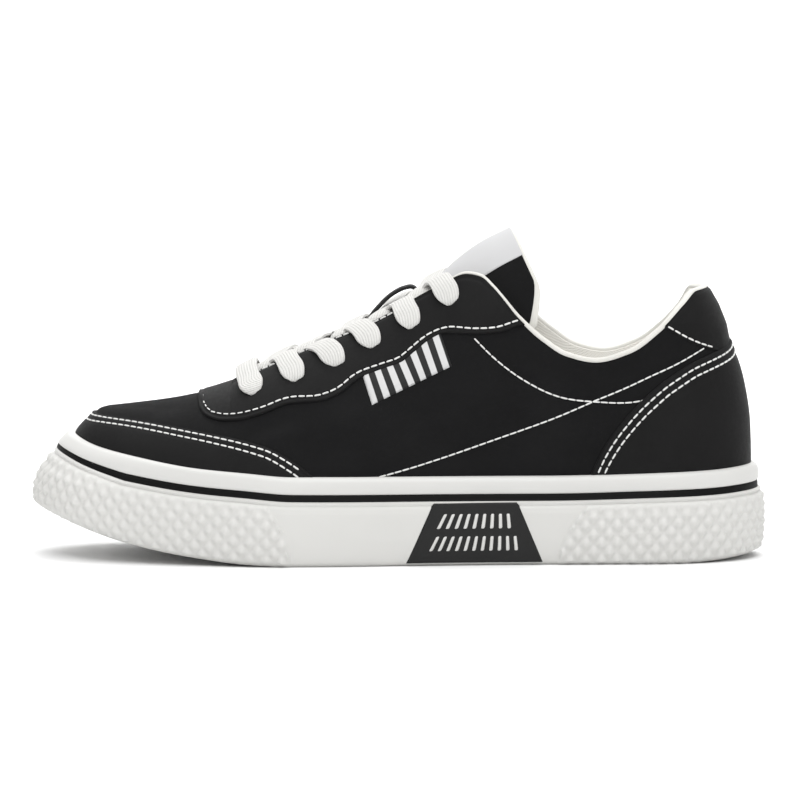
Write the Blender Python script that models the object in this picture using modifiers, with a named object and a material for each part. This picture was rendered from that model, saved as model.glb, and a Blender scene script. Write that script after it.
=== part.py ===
"""Low-top canvas sneaker for the left foot: a hollow stitched upper in a rubber cupsole.

Sizes are in millimetres and become metres when a mesh is made. The toe points along -X, the outer
(lateral) side faces -Y, +Z is up, and the sole stands on z = 0. The upper is one function of two
values: an angle round the foot (0 at the toe, a half turn at the heel) and a height from the
feather line (0) to the collar, throat or vamp ridge (1). Sole, insole and overlays follow it.
"""

import math

import bmesh
import bpy
import numpy as np
from mathutils import Vector

MM = 0.001

# Middle of the whole shoe in plan, which the origin lies under.
MIDDLE = (-0.1133, -0.0758, 0.0)

# Driving sizes of the last.
HEEL_X = 138.0
TOE_X = -134.0
HEEL_ROUND = 42.0
TOE_ROUND = 66.0
HEEL_POWER = 2.2
TOE_POWER = 2.3
HEEL_LEAN_REACH = 0.32
TOE_LEAN_REACH = 0.22
THROAT_X = -66.0
THROAT_ROUND = 13.0

# The inner side's collar dips a little further back than the outer side's.
MEDIAL_BACK = 5.5
MEDIAL_SPAN = (28.0, 48.0, 122.0, 138.0)

# Thicknesses and clearances.
UPPER_WALL = 2.2
OVERLAY_WALL = 1.1
LABEL_WALL = 0.8
GAP = 0.35
BAND_GAP = 0.5
INSOLE_THICK = 4.5

# The sole's side, measured down from the rim.
FOXING_TALL = 6.9
FOXING_TOE_LESS = 2.6
FOXING_TOE_REACH = 0.1
STRIPE_TALL = 1.9

# How far along the shoe, as shares, the heel's and the toe's own offsets of the sole's side reach.
SOLE_HEEL_REACH = 0.16
SOLE_TOE_REACH = 0.2
CUP_LIP = 0.4

# The sole's inlay: its lower edge over the floor, its upper edge below the rim, and how deep it lies.
PATCH_LOW = 1.9
PATCH_DROP = 10.7
PATCH_SINK = 1.15
PATCH_STAND = 0.25
POCKET_SINK = 1.5
POCKET_REACH = 4.0

# Laces: their size, where they pass the throat's edge, cross over the tongue and dive to the next pair.
LACE_WIDE = 7.6
LACE_THICK = 1.6
LACE_CROWN = 0.03
LACE_EDGE = 0.97
LACE_EDGE_RISE = 1.8
LACE_BAR_EDGE = 0.6
LACE_BAR_RISE = 2.0
LACE_CROSS_AT = 0.62
LACE_CROSS_LIFT = 6.6
LACE_OVER = 0.5
LACE_DIVE_AT = 0.32
LACE_DIVE_LIFT = 3.4
LACE_DIVE_IN = 0.62
EYELET_RADIUS = 2.3
EYELET_PIN = 14.0
KEEPER_HALF = 4.0
KEEPER_THICK = 1.2

FOOT_MIDDLE = (0.0, 0.0, 45.0)
PERIMETER_STEPS = 60
UPPER_ROWS = 8


def table(columns, *rows):
    """A short table as one array for each named column, sorted by its first column."""
    ordered = sorted(rows)
    return {name: np.array(values, float) for name, values in zip(columns.split(), zip(*ordered))}


# Plan outline at the feather line: half widths on each side of a centre line that bends at the toe.
OUTLINE = table(
    "station lateral medial centre",
    (138, 33.0, 33.0, 0.0),
    (100, 33.5, 33.0, 0.0),
    (57, 35.0, 31.0, 0.0),
    (16, 39.0, 32.0, 0.0),
    (-25, 45.0, 40.0, 0.0),
    (-52, 47.0, 45.0, 0.6),
    (-79, 44.5, 46.0, 2.2),
    (-107, 40.0, 43.0, 4.5),
    (-134, 37.0, 40.0, 6.5),
)

# Heights of the sole: its bottom with the toe spring, the foot bed and the rim of the foxing.
LEVELS = table(
    "station bottom bed rim",
    (138, 1.6, 24.8, 37.4),
    (121, 0.3, 24.4, 36.5),
    (108, 0.0, 24.0, 36.1),
    (57, 0.0, 21.8, 34.9),
    (16, 0.0, 20.0, 35.0),
    (-42, 0.0, 18.8, 35.3),
    (-60, 0.8, 19.2, 36.7),
    (-79, 2.9, 20.2, 38.2),
    (-107, 8.4, 23.4, 42.4),
    (-122, 13.4, 27.0, 45.3),
    (-134, 18.8, 31.0, 48.1),
)

# Top edge of the upper: collar, throat edge, then the ridge of the vamp.
TOP_EDGE = table(
    "station height half_gap",
    (138, 107.6, 27.5),
    (129, 106.8, 28.5),
    (120, 101.8, 29.5),
    (105, 91.2, 31.0),
    (92, 83.5, 32.0),
    (78, 80.0, 32.0),
    (66, 82.5, 31.5),
    (58, 87.4, 30.5),
    (47, 96.7, 28.0),
    (41, 104.0, 26.0),
    (37, 108.6, 24.8),
    (32, 112.8, 23.0),
    (27, 113.6, 21.4),
    (18, 109.8, 18.5),
    (-9, 94.6, 15.5),
    (-39, 81.8, 14.5),
    (-54, 74.9, 13.5),
    (-66, 69.2, 12.5),
    (-79, 65.2, 0.0),
    (-107, 61.5, 0.0),
    (-120, 60.5, 0.0),
    (-134, 59.6, 0.0),
)

# Shape of each side section: how far it swells over the feather line and where its shoulder turns in.
SHOULDER = table(
    "station swell rise shoulder drop",
    (138, 1.5, 22.0, 30.5, 26.0),
    (105, 2.0, 18.0, 34.0, 20.0),
    (78, 2.0, 16.0, 35.5, 18.0),
    (57, 2.0, 18.0, 36.5, 22.0),
    (27, 2.5, 24.0, 35.0, 24.0),
    (-9, 3.0, 22.0, 35.5, 13.0),
    (-39, 4.0, 20.0, 36.0, 9.0),
    (-66, 4.0, 20.0, 33.0, 3.0),
    (-79, 4.0, 20.0, 30.5, 0.6),
    (-107, 4.0, 18.0, 28.0, 0.0),
    (-134, 3.0, 14.0, 26.0, 0.0),
)

# How far the back of the heel and the front of the toe lean in over the foot, by height.
HEEL_LEAN = table(
    "height inset",
    (24.0, 0.0),
    (38.0, -1.6),
    (53.0, -1.2),
    (70.0, 1.3),
    (81.0, 4.6),
    (92.0, 8.6),
    (102.0, 12.6),
    (106.0, 14.2),
    (109.0, 17.0),
)
TOE_LEAN = table(
    "height inset",
    (27.0, 0.0),
    (36.0, 1.0),
    (44.0, 3.0),
    (50.0, 6.2),
    (55.0, 10.8),
    (58.4, 14.2),
    (59.8, 19.0),
)

# Outer profile of the sole: offsets from the upper's rim along the sides, round the heel and at the toe.
SOLE_SIDE = table(
    "drop side heel toe",
    (0.0, 2.0, 1.8, 2.8),
    (1.2, 2.8, 2.5, 3.8),
    (3.6, 3.1, 2.8, 5.6),
    (6.6, 2.8, 2.5, 7.4),
    (8.8, 3.0, 3.2, 9.4),
    (10.0, 4.2, 4.6, 11.0),
    (14.4, 5.0, 5.4, 14.0),
)
# The lower part of that profile, measured up from the bottom.
SOLE_FOOT = table(
    "rise side heel toe",
    (0.0, 2.6, 2.6, 11.0),
    (1.6, 4.4, 4.4, 14.4),
    (5.0, 5.0, 5.2, 16.4),
    (10.0, 5.2, 5.6, 16.1),
)

# Edges of the overlays in side elevation.
TOE_EDGE = table(
    "x height",
    (-33.7, 35.4),
    (-41.2, 41.0),
    (-52.2, 46.6),
    (-70.0, 50.4),
    (-102.0, 54.7),
    (-118.0, 55.6),
    (-126.0, 55.8),
)
COUNTER_EDGE = table(
    "x height",
    (75.6, 35.6),
    (80.8, 46.0),
    (87.6, 55.6),
    (97.4, 66.0),
    (106.0, 73.0),
    (116.7, 79.4),
    (131.0, 86.6),
)
EYESTAY_EDGE = table(
    "x height",
    (-79.8, 63.6),
    (-79.0, 60.2),
    (-76.0, 57.2),
    (-70.0, 55.8),
    (-64.0, 56.2),
    (-53.6, 59.0),
    (-43.4, 62.9),
    (-30.2, 64.3),
    (-23.0, 67.2),
    (-15.9, 72.6),
    (-6.7, 76.2),
    (1.4, 79.2),
    (6.2, 83.0),
    (13.0, 88.2),
    (18.8, 90.6),
    (29.5, 90.4),
    (39.2, 91.0),
    (48.0, 93.8),
)
TOE_GUARD_END = (-34.4, 37.0)
COUNTER_END = (76.4, 36.9)
HEEL_TAB_END = (107.2, 93.8)
EYESTAY_END = (46.6, 95.0)
HEEL_TAB_EDGE = table("x height", (106.5, 93.4), (111.6, 90.0), (118.0, 87.0), (123.0, 85.4))
EYELETS = table(
    "x height",
    (-57.5, 66.6),
    (-41.2, 72.2),
    (-25.0, 78.4),
    (-10.8, 85.6),
    (4.6, 93.4),
    (20.4, 103.0),
)

# The woven label: its lower corners, the span of its upper edge and how far that stops below the eyestay.
LABEL_LOW = {"toe": (-10.6, 62.9), "heel": (20.9, 78.0)}
LABEL_HIGH = (-14.4, 16.4)
LABEL_CLEAR = 1.9

# Ends of the sole's inlay along the shoe, at the rim and at the floor.
SOLE_PATCH = {"top_toe": 19.0, "top_heel": 41.0, "low_toe": 3.0, "low_heel": 56.0}

# The tongue along its centre line: where it is, how wide, how far its edges fall and their lean in degrees.
TONGUE = table(
    "x height half_wide fall lean",
    (-76.0, 62.0, 22.0, 5.0, 11.0),
    (-66.0, 65.6, 24.0, 7.5, 13.0),
    (-50.0, 73.6, 25.5, 11.5, 13.0),
    (-30.0, 82.4, 26.0, 14.0, 13.0),
    (-8.0, 91.8, 26.0, 17.0, 14.0),
    (10.0, 104.0, 25.5, 23.0, 18.0),
    (23.0, 117.4, 25.0, 35.0, 22.0),
    (34.5, 126.0, 25.0, 35.0, 24.5),
    (44.5, 131.0, 25.0, 30.0, 25.0),
)
TONGUE_THICK = 4.0
TONGUE_EDGE = 2.4
TONGUE_LABEL_SPAN = (0.80, 0.985)
TONGUE_LABEL_HALF = 0.57


def blend(columns, key, name, at):
    """A smooth curve through one column of a table, with no overshoot (Fritsch and Carlson)."""
    x, y = columns[key], columns[name]
    step = np.diff(x)
    slope = np.diff(y) / step
    inner = np.zeros(len(x))
    same = slope[:-1] * slope[1:] > 0
    first, second = 2 * step[1:] + step[:-1], step[1:] + 2 * step[:-1]
    with np.errstate(divide="ignore", invalid="ignore"):
        mean = (first + second) / (first / slope[:-1] + second / slope[1:])
    inner[1:-1] = np.where(same, mean, 0.0)
    inner[0], inner[-1] = slope[0], slope[-1]
    at = np.clip(np.asarray(at, float), x[0], x[-1])
    k = np.clip(np.searchsorted(x, at, side="right") - 1, 0, len(x) - 2)
    t = (at - x[k]) / step[k]
    return (
        y[k] * (1 + 2 * t) * (1 - t) ** 2
        + inner[k] * step[k] * t * (1 - t) ** 2
        + y[k + 1] * t * t * (3 - 2 * t)
        + inner[k + 1] * step[k] * t * t * (t - 1)
    )


def round_end(distance, length, power):
    """A rounded end in plan: 0 at the tip, 1 once a length away from it."""
    near = np.clip(distance / length, 0, 1)
    return (1 - (1 - near) ** power) ** (1 / power)


def share_of(station):
    """Place along the foot: 0 at the heel, 1 at the toe."""
    return (HEEL_X - station) / (HEEL_X - TOE_X)


def heel_pull(station):
    """How much of the heel's lean a station takes."""
    return np.clip(1 - share_of(station) / HEEL_LEAN_REACH, 0, 1) ** 2


def toe_pull(station):
    """How much of the toe's lean a station takes."""
    return np.clip(1 - (1 - share_of(station)) / TOE_LEAN_REACH, 0, 1) ** 1.5


def station_at(angle):
    """The place along the shoe of an angle round the foot."""
    return TOE_X + (HEEL_X - TOE_X) * (1 - np.cos(angle)) / 2


def angle_at(station, lateral):
    """The angle round the foot of a station on one side: lateral angles are negative."""
    angle = np.arccos(np.clip(1 - 2 * (np.asarray(station, float) - TOE_X) / (HEEL_X - TOE_X), -1, 1))
    return -angle if lateral else angle


def top_height(station, lateral):
    """Height of the top edge; the inner side's collar is moved back a little."""
    start, full, fade, end = MEDIAL_SPAN
    moved = np.clip((station - start) / (full - start), 0, 1) * np.clip((end - station) / (end - fade), 0, 1)
    return blend(TOP_EDGE, "station", "height", station - np.where(lateral, 0.0, MEDIAL_BACK) * moved)


def section(station, lateral, height):
    """Half width and z of the upper's side section, a curve of four control points."""
    outer, inner = (blend(OUTLINE, "station", side, station) for side in ("lateral", "medial"))
    base = np.where(lateral, outer, inner)
    low = blend(LEVELS, "station", "bed", station) + GAP
    high = top_height(station, lateral)
    gap = blend(TOP_EDGE, "station", "half_gap", station) * round_end(station - THROAT_X, THROAT_ROUND, 2.0)
    names = ("swell", "rise", "shoulder", "drop")
    swell, rise, shoulder, drop = (blend(SHOULDER, "station", name, station) for name in names)
    a, b = (1 - height) ** 3, 3 * height * (1 - height) ** 2
    c, d = 3 * height**2 * (1 - height), height**3
    wide = a * base + b * (base + swell) + c * shoulder + d * gap
    return wide, a * low + b * (low + rise) + c * (high - drop) + d * high


def upper_point(angle, height):
    """A point of the upper's outer face, as an array with x, y and z last."""
    angle, height = np.broadcast_arrays(np.asarray(angle, float), np.asarray(height, float))
    station = station_at(angle)
    lateral = np.sin(angle) < 0
    wide, z = section(station, lateral, height)
    ends = round_end(HEEL_X - station, HEEL_ROUND, HEEL_POWER)
    ends = ends * round_end(station - TOE_X, TOE_ROUND, TOE_POWER)
    x = (
        station
        - blend(HEEL_LEAN, "height", "inset", z) * heel_pull(station)
        + blend(TOE_LEAN, "height", "inset", z) * toe_pull(station)
    )
    y = blend(OUTLINE, "station", "centre", station) + np.where(lateral, -1, 1) * wide * ends
    return np.stack([x, y, z], axis=-1)


def upper_normal(angle, height):
    """The outward direction of the upper's outer face."""
    nudge = 1e-3
    height = np.clip(height, nudge, 0.985)
    around = upper_point(angle + nudge, height) - upper_point(angle - nudge, height)
    up = upper_point(angle, height + nudge) - upper_point(angle, height - nudge)
    normal = np.cross(up, around)
    return normal / np.maximum(np.linalg.norm(normal, axis=-1, keepdims=True), 1e-9)


def offset_point(angle, height, offset):
    """A point off the upper's outer face; both sides share one direction on the vamp ridge."""
    angle, height = np.broadcast_arrays(np.asarray(angle, float), np.asarray(height, float))
    normal = upper_normal(angle, height)
    both = normal + upper_normal(-angle, height)
    both /= np.linalg.norm(both, axis=-1, keepdims=True)
    ridge = (height > 0.999) & (station_at(angle) <= THROAT_X + 1e-6)
    return upper_point(angle, height) + np.where(ridge[..., None], both, normal) * offset


def height_at(angle, z):
    """The height value at which the upper's section reaches z, found by halving."""
    angle, z = np.broadcast_arrays(np.asarray(angle, float), np.asarray(z, float))
    low, high = np.zeros(z.shape), np.ones(z.shape)
    for _ in range(40):
        middle = (low + high) / 2
        below = upper_point(angle, middle)[..., 2] < z
        low, high = np.where(below, middle, low), np.where(below, high, middle)
    return (low + high) / 2


def elevation_angle(x, z, lateral):
    """The angle of the point that is seen at x and z from the side."""
    station = np.asarray(x, float)
    for _ in range(30):
        lean = blend(HEEL_LEAN, "height", "inset", z) * heel_pull(station)
        station = x + lean - blend(TOE_LEAN, "height", "inset", z) * toe_pull(station)
    return angle_at(station, lateral)


def rim_frame(angle):
    """The upper at the foxing's rim and the level outward direction there."""
    rim = blend(LEVELS, "station", "rim", station_at(angle))
    height = height_at(angle, rim)
    outward = upper_normal(angle, height)
    outward[..., 2] = 0
    outward /= np.linalg.norm(outward, axis=-1, keepdims=True)
    return upper_point(angle, height), outward


def sole_offset(columns, key, angle, at):
    """An offset of the sole's side, mixed between its side, heel and toe columns."""
    share = share_of(station_at(angle))
    heel = np.clip(1 - share / SOLE_HEEL_REACH, 0, 1) ** 0.8
    toe = np.clip(1 - (1 - share) / SOLE_TOE_REACH, 0, 1) ** 1.2
    side, back, front = (blend(columns, key, name, at) for name in ("side", "heel", "toe"))
    return side + (back - side) * heel + (front - side) * toe


def sole_point(angle, drop=None, rise=None, extra=0.0):
    """A point of the sole's outer face, by its drop from the rim or its rise from the bottom."""
    point, outward = rim_frame(angle)
    station = station_at(angle)
    if drop is not None:
        offset = sole_offset(SOLE_SIDE, "drop", angle, drop)
        z = blend(LEVELS, "station", "rim", station) - drop
    else:
        offset = sole_offset(SOLE_FOOT, "rise", angle, rise)
        z = blend(LEVELS, "station", "bottom", station) + rise
    point = point + outward * (offset + extra)[..., None]
    point[..., 2] = z
    return point


def inner_ring(angle, z, offset):
    """The upper at height z, moved level by an offset, as the sole's inside and the insole need."""
    height = height_at(angle, z)
    outward = upper_normal(angle, height)
    outward[..., 2] = 0
    outward /= np.linalg.norm(outward, axis=-1, keepdims=True)
    point = upper_point(angle, height) + outward * offset
    point[..., 2] = z
    return point


def material(name, colour, roughness):
    """A plain finish of one colour."""
    made = bpy.data.materials.new(name)
    made.use_nodes = True
    shader = made.node_tree.nodes["Principled BSDF"]
    shader.inputs["Base Color"].default_value = (*colour, 1.0)
    shader.inputs["Roughness"].default_value = roughness
    shader.inputs["Metallic"].default_value = 0.0
    return made


def to_metres(bm):
    """Centres a bmesh on the whole shoe and turns its millimetres into metres."""
    bmesh.ops.translate(bm, vec=tuple(-value for value in MIDDLE), verts=bm.verts)
    bmesh.ops.scale(bm, vec=(MM, MM, MM), verts=bm.verts)


def add_object(name, bm, finish, collection):
    """Turns a bmesh in millimetres into a named object in metres, faces out."""
    bmesh.ops.remove_doubles(bm, verts=bm.verts, dist=0.004)
    bmesh.ops.dissolve_degenerate(bm, edges=bm.edges, dist=0.004)
    bmesh.ops.recalc_face_normals(bm, faces=bm.faces)
    if bm.calc_volume(signed=True) < 0:
        bmesh.ops.reverse_faces(bm, faces=bm.faces)
    to_metres(bm)
    mesh = bpy.data.meshes.new(name)
    bm.to_mesh(mesh)
    bm.free()
    mesh.shade_smooth()
    mesh.set_sharp_from_angle(angle=math.radians(40))
    mesh.materials.append(finish)
    made = bpy.data.objects.new(name, mesh)
    collection.objects.link(made)
    return made


def add_grid(bm, points, closed_columns=False, closed_rows=False):
    """Adds a grid of points, columns first, as quads. Returns its vertices."""
    columns, rows = points.shape[:2]
    verts = [[bm.verts.new(points[i, j]) for j in range(rows)] for i in range(columns)]
    for i in range(columns if closed_columns else columns - 1):
        for j in range(rows if closed_rows else rows - 1):
            after, above = (i + 1) % columns, (j + 1) % rows
            bm.faces.new((verts[i][j], verts[after][j], verts[after][above], verts[i][above]))
    return verts


def cap_across(bm, ring):
    """Closes a ring of vertices with strips from one side of the foot to the other."""
    count = len(ring)
    for i in range(count // 2):
        corners = (ring[i], ring[i + 1], ring[(count - i - 1) % count], ring[(count - i) % count])
        bm.faces.new(tuple(dict.fromkeys(corners)))


def loft_solid(name, rings, finish, collection, capped):
    """A solid through rings round the foot: capped at both ends, or closed on itself as a band."""
    bm = bmesh.new()
    points = np.stack(rings, axis=1)
    verts = add_grid(bm, points, closed_columns=True, closed_rows=not capped)
    if capped:
        cap_across(bm, [column[0] for column in verts])
        cap_across(bm, [column[-1] for column in verts])
    return add_object(name, bm, finish, collection)


def add_wall(made, thickness, outward):
    """Gives an open surface its wall thickness."""
    wall = made.modifiers.new("wall", "SOLIDIFY")
    wall.thickness = thickness * MM
    wall.offset = 1.0 if outward else -1.0
    wall.use_even_offset = True
    wall.use_quality_normals = True


def point_out(bm):
    """Turns an open surface's faces away from the middle of the foot."""
    middle = Vector(FOOT_MIDDLE)
    if sum((face.calc_center_median() - middle) @ face.normal * face.calc_area() for face in bm.faces) < 0:
        bmesh.ops.reverse_faces(bm, faces=bm.faces)


def add_shell(name, grids, thickness, outward, finish, collection):
    """An open surface made of grids that meet edge to edge, with a wall."""
    bm = bmesh.new()
    for points in grids:
        add_grid(bm, points)
    bmesh.ops.remove_doubles(bm, verts=bm.verts, dist=0.02)
    bmesh.ops.recalc_face_normals(bm, faces=bm.faces)
    point_out(bm)
    to_metres(bm)
    mesh = bpy.data.meshes.new(name)
    bm.to_mesh(mesh)
    bm.free()
    mesh.shade_smooth()
    mesh.materials.append(finish)
    made = bpy.data.objects.new(name, mesh)
    collection.objects.link(made)
    add_wall(made, thickness, outward)
    return made


def eyestay_front():
    """The angle of the eyestay's front end."""
    return elevation_angle(EYESTAY_EDGE["x"][0], EYESTAY_EDGE["height"][0], False)


def perimeter_angles():
    """Columns round the foot, from the heel along the outer side to the toe and back."""
    even = np.linspace(-np.pi, np.pi, PERIMETER_STEPS, endpoint=False)
    front = eyestay_front() + np.array([0.0, 0.01, 0.03, 0.06])
    extra = np.append(angle_at(np.array([THROAT_X, THROAT_X + 2.5, THROAT_X + 6.0]), False), front)
    return np.unique(np.round(np.concatenate([even, extra, -extra]), 6))


def columns_between(first, last):
    """The shared columns between two angles, with the two ends; the last may pass the heel."""
    shared = perimeter_angles()
    shared = np.concatenate([shared, shared + 2 * np.pi])
    inner = shared[(shared > first + 0.004) & (shared < last - 0.004)]
    return np.concatenate([[first], inner, [last]])


def make_upper(finish, collection):
    """The canvas shell from the feather line to collar, throat and vamp ridge, open below and above."""
    angles = perimeter_angles()
    angles = np.append(angles, angles[0] + 2 * np.pi)
    heights = np.linspace(0, 1, UPPER_ROWS + 1)
    points = upper_point(angles[:, None], heights[None, :])
    return add_shell("upper", [points], UPPER_WALL, False, finish, collection)


def make_sole(finishes, collection):
    """Cupsole, black stripe and foxing tape, stacked round the upper."""
    angles = perimeter_angles()
    rim = blend(LEVELS, "station", "rim", station_at(angles))
    bed = blend(LEVELS, "station", "bed", station_at(angles))
    toe = np.clip(1 - (1 - share_of(station_at(angles))) / FOXING_TOE_REACH, 0, 1)
    foxing_tall = FOXING_TALL - FOXING_TOE_LESS * toe

    def outer(drop, extra=0.0):
        """A ring of the outer face, a drop below the rim."""
        return sole_point(angles, drop=drop + 0.0 * angles, extra=extra)

    def foot(rise):
        """A ring of the outer face, a rise above the bottom."""
        return sole_point(angles, rise=rise + 0.0 * angles)

    def inside(drop):
        """A ring of the inner face, a drop below the rim."""
        return inner_ring(angles, rim - drop, BAND_GAP)

    top = foxing_tall + BAND_GAP
    bottom = top + STRIPE_TALL
    low = bottom + BAND_GAP
    bed_edge = inner_ring(angles, bed + GAP, BAND_GAP)
    bed_edge[:, 2] = bed
    cup = [foot(rise) for rise in SOLE_FOOT["rise"]]
    cup += [outer(SOLE_SIDE["drop"][-1]), outer(low + CUP_LIP), outer(low), inside(low)]
    cup += [inner_ring(angles, bed + (rim - low - bed) * share, BAND_GAP) for share in (0.7, 0.35)]
    cupsole = loft_solid("cupsole", cup + [bed_edge], finishes["white_rubber"], collection, True)
    stripe = [outer(bottom, -0.5), outer(top, -0.2), inside(top), inside(bottom)]
    loft_solid("stripe_band", stripe, finishes["black_rubber"], collection, False)
    foxing = [outer(drop) for drop in (foxing_tall, *SOLE_SIDE["drop"][2::-1])]
    foxing += [inside(0.0), inside(foxing_tall)]
    loft_solid("foxing_band", foxing, finishes["white_rubber"], collection, False)
    return cupsole


def make_insole(finish, collection):
    """The foam sock on the foot bed, inside the upper."""
    angles = perimeter_angles()
    bed = blend(LEVELS, "station", "bed", station_at(angles))
    inset = -(UPPER_WALL + 2 * GAP)
    low = inner_ring(angles, bed + GAP, inset)
    high = inner_ring(angles, bed + INSOLE_THICK, inset)
    low[:, 2] = bed + GAP
    loft_solid("insole", [low, high], finish, collection, True)


def make_overlay(name, angles, low, high, rows, finish, collection):
    """A panel on the upper between two height curves, one value for each angle."""
    steps = np.linspace(0, 1, rows + 1)
    heights = low[:, None] + (high - low)[:, None] * steps[None, :]
    points = offset_point(angles[:, None], heights, GAP)
    return add_shell(name, [points], OVERLAY_WALL, True, finish, collection)


def above_rim(angles):
    """Height value just over the foxing, where an overlay starts."""
    return height_at(angles, blend(LEVELS, "station", "rim", station_at(angles)) + 2 * GAP)


def edge_heights(edge, angles):
    """Height values of an overlay's edge, from its table in side elevation."""
    lateral = np.abs(angles)
    outline = elevation_angle(edge["x"], edge["height"], False)
    order = np.argsort(outline)
    z = np.interp(lateral, outline[order], edge["height"][order])
    return height_at(angles, z)


def make_toe_overlay(finish, collection):
    """The wing-shaped toe guard, from one side round the toe to the other."""
    end = elevation_angle(*TOE_GUARD_END, False)
    angles = columns_between(-end, end)
    edge = edge_heights(TOE_EDGE, angles)
    make_overlay("toe_overlay", angles, above_rim(angles), edge, 4, finish, collection)


def heel_angles(x, z):
    """Columns from one side round the back of the heel to the other."""
    end = elevation_angle(x, z, False)
    return (columns_between(end, 2 * np.pi - end) + np.pi) % (2 * np.pi) - np.pi


def make_heel_counter(finish, collection):
    """The swept panel round the heel."""
    angles = heel_angles(*COUNTER_END)
    edge = edge_heights(COUNTER_EDGE, angles)
    make_overlay("heel_counter", angles, above_rim(angles), edge, 4, finish, collection)


def make_heel_tab(finish, collection):
    """The padded panel over the counter, up to the collar."""
    angles = heel_angles(*HEEL_TAB_END)
    counter = edge_heights(COUNTER_EDGE, angles)
    z = upper_point(angles, counter)[:, 2] + OVERLAY_WALL
    over_counter = height_at(angles, z)
    low = np.maximum(edge_heights(HEEL_TAB_EDGE, angles), over_counter)
    make_overlay("heel_tab", angles, low, np.ones(len(angles)), 3, finish, collection)


def eyestay_grid(lateral):
    """One half of the lace panel, from its rounded front to the collar."""
    end = elevation_angle(*EYESTAY_END, False)
    angles = columns_between(eyestay_front(), end) * (-1 if lateral else 1)
    low = edge_heights(EYESTAY_EDGE, angles)
    steps = np.linspace(0, 1, 7)
    heights = low[:, None] + (1 - low)[:, None] * steps[None, :]
    return offset_point(angles[:, None], heights, BAND_GAP)


def make_eyestay(finish, collection):
    """The lace panel, both halves meeting over the vamp."""
    grids = [eyestay_grid(True), eyestay_grid(False)[::-1]]
    return add_shell("eyestay", grids, OVERLAY_WALL, True, finish, collection)


def eyelet_place(index, lateral, offset):
    """A lace hole's place on the upper and the direction out of it."""
    x, z = EYELETS["x"][index], EYELETS["height"][index]
    angle = elevation_angle(x, z, lateral)
    height = height_at(angle, z)
    return offset_point(angle, height, offset), upper_normal(angle, height)


def make_eyelet_cutter(collection):
    """One mesh of twelve short pins that punch the lace holes."""
    bm = bmesh.new()
    for index in range(len(EYELETS["x"])):
        for lateral in (True, False):
            place, normal = eyelet_place(index, lateral, 0.0)
            pin = bmesh.ops.create_cone(
                bm, cap_ends=True, segments=8, radius1=EYELET_RADIUS, radius2=EYELET_RADIUS, depth=EYELET_PIN
            )
            turn = Vector(normal).to_track_quat("Z", "Y").to_matrix().to_4x4()
            bmesh.ops.transform(bm, matrix=turn, verts=pin["verts"])
            bmesh.ops.translate(bm, vec=place, verts=pin["verts"])
    to_metres(bm)
    mesh = bpy.data.meshes.new("eyelet_cutter")
    bm.to_mesh(mesh)
    bm.free()
    cutter = bpy.data.objects.new("eyelet_cutter", mesh)
    collection.objects.link(cutter)
    cutter.hide_render = True
    cutter.display_type = "WIRE"
    return cutter


def cut(made, cutter):
    """Cuts a solid with a cutter."""
    hole = made.modifiers.new("holes", "BOOLEAN")
    hole.operation = "DIFFERENCE"
    hole.object = cutter


def slab_solid(name, inner, outer, finish, collection):
    """A solid between two grids of the same shape."""
    bm = bmesh.new()
    low, high = add_grid(bm, inner), add_grid(bm, outer)
    columns, rows = inner.shape[:2]
    border = [(i, 0) for i in range(columns)] + [(columns - 1, j) for j in range(1, rows)]
    border += [(i, rows - 1) for i in range(columns - 2, -1, -1)] + [(0, j) for j in range(rows - 2, 0, -1)]
    for (i, j), (k, m) in zip(border, border[1:] + border[:1]):
        bm.faces.new((low[i][j], low[k][m], high[k][m], high[i][j]))
    return add_object(name, bm, finish, collection)


def make_side_tab(finish, collection):
    """The woven label on the outer side, caught under the eyestay."""
    along, up = np.linspace(0, 1, 7)[:, None], np.linspace(0, 1, 5)[None, :]
    low_x, low_z = (a + (b - a) * along for a, b in zip(LABEL_LOW["toe"], LABEL_LOW["heel"]))
    high_x = LABEL_HIGH[0] + (LABEL_HIGH[1] - LABEL_HIGH[0]) * along
    high_z = blend(EYESTAY_EDGE, "x", "height", high_x) - LABEL_CLEAR
    x, z = low_x + (high_x - low_x) * up, low_z + (high_z - low_z) * up
    angles = elevation_angle(x, z, True)
    heights = height_at(angles, z)
    inner, outer = offset_point(angles, heights, GAP), offset_point(angles, heights, GAP + LABEL_WALL)
    return slab_solid("side_tab", inner, outer, finish, collection)


def patch_grid(extra, grow):
    """A trapezoid of the outer side wall, widest at the floor, grown by a margin."""
    rim = blend(LEVELS, "station", "rim", SOLE_PATCH["top_toe"])
    turn = rim - SOLE_SIDE["drop"][-1]
    rows = []
    for z in (PATCH_LOW - 2 * grow, 3.0, 6.5, SOLE_FOOT["rise"][-1], turn, rim - PATCH_DROP + grow):
        share = z / rim
        first = SOLE_PATCH["low_toe"] + (SOLE_PATCH["top_toe"] - SOLE_PATCH["low_toe"]) * share - grow
        last = SOLE_PATCH["low_heel"] + (SOLE_PATCH["top_heel"] - SOLE_PATCH["low_heel"]) * share + grow
        angles = angle_at(np.linspace(first, last, 9), True)
        if z >= turn:
            rows.append(sole_point(angles, drop=np.full(9, rim - z), extra=extra))
        else:
            rows.append(sole_point(angles, rise=np.full(9, z), extra=extra))
    return np.stack(rows, axis=1)


def make_sole_patch(finishes, cupsole, collection, tools):
    """The black inlay and the pocket that it lies in."""
    black = finishes["black_rubber"]
    slab_solid("sole_patch", patch_grid(-PATCH_SINK, 0.0), patch_grid(PATCH_STAND, 0.0), black, collection)
    floor, mouth = patch_grid(-POCKET_SINK, GAP), patch_grid(POCKET_REACH, GAP)
    pocket = slab_solid("patch_cutter", floor, mouth, black, tools)
    pocket.hide_render = True
    pocket.display_type = "WIRE"
    cut(cupsole, pocket)


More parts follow.
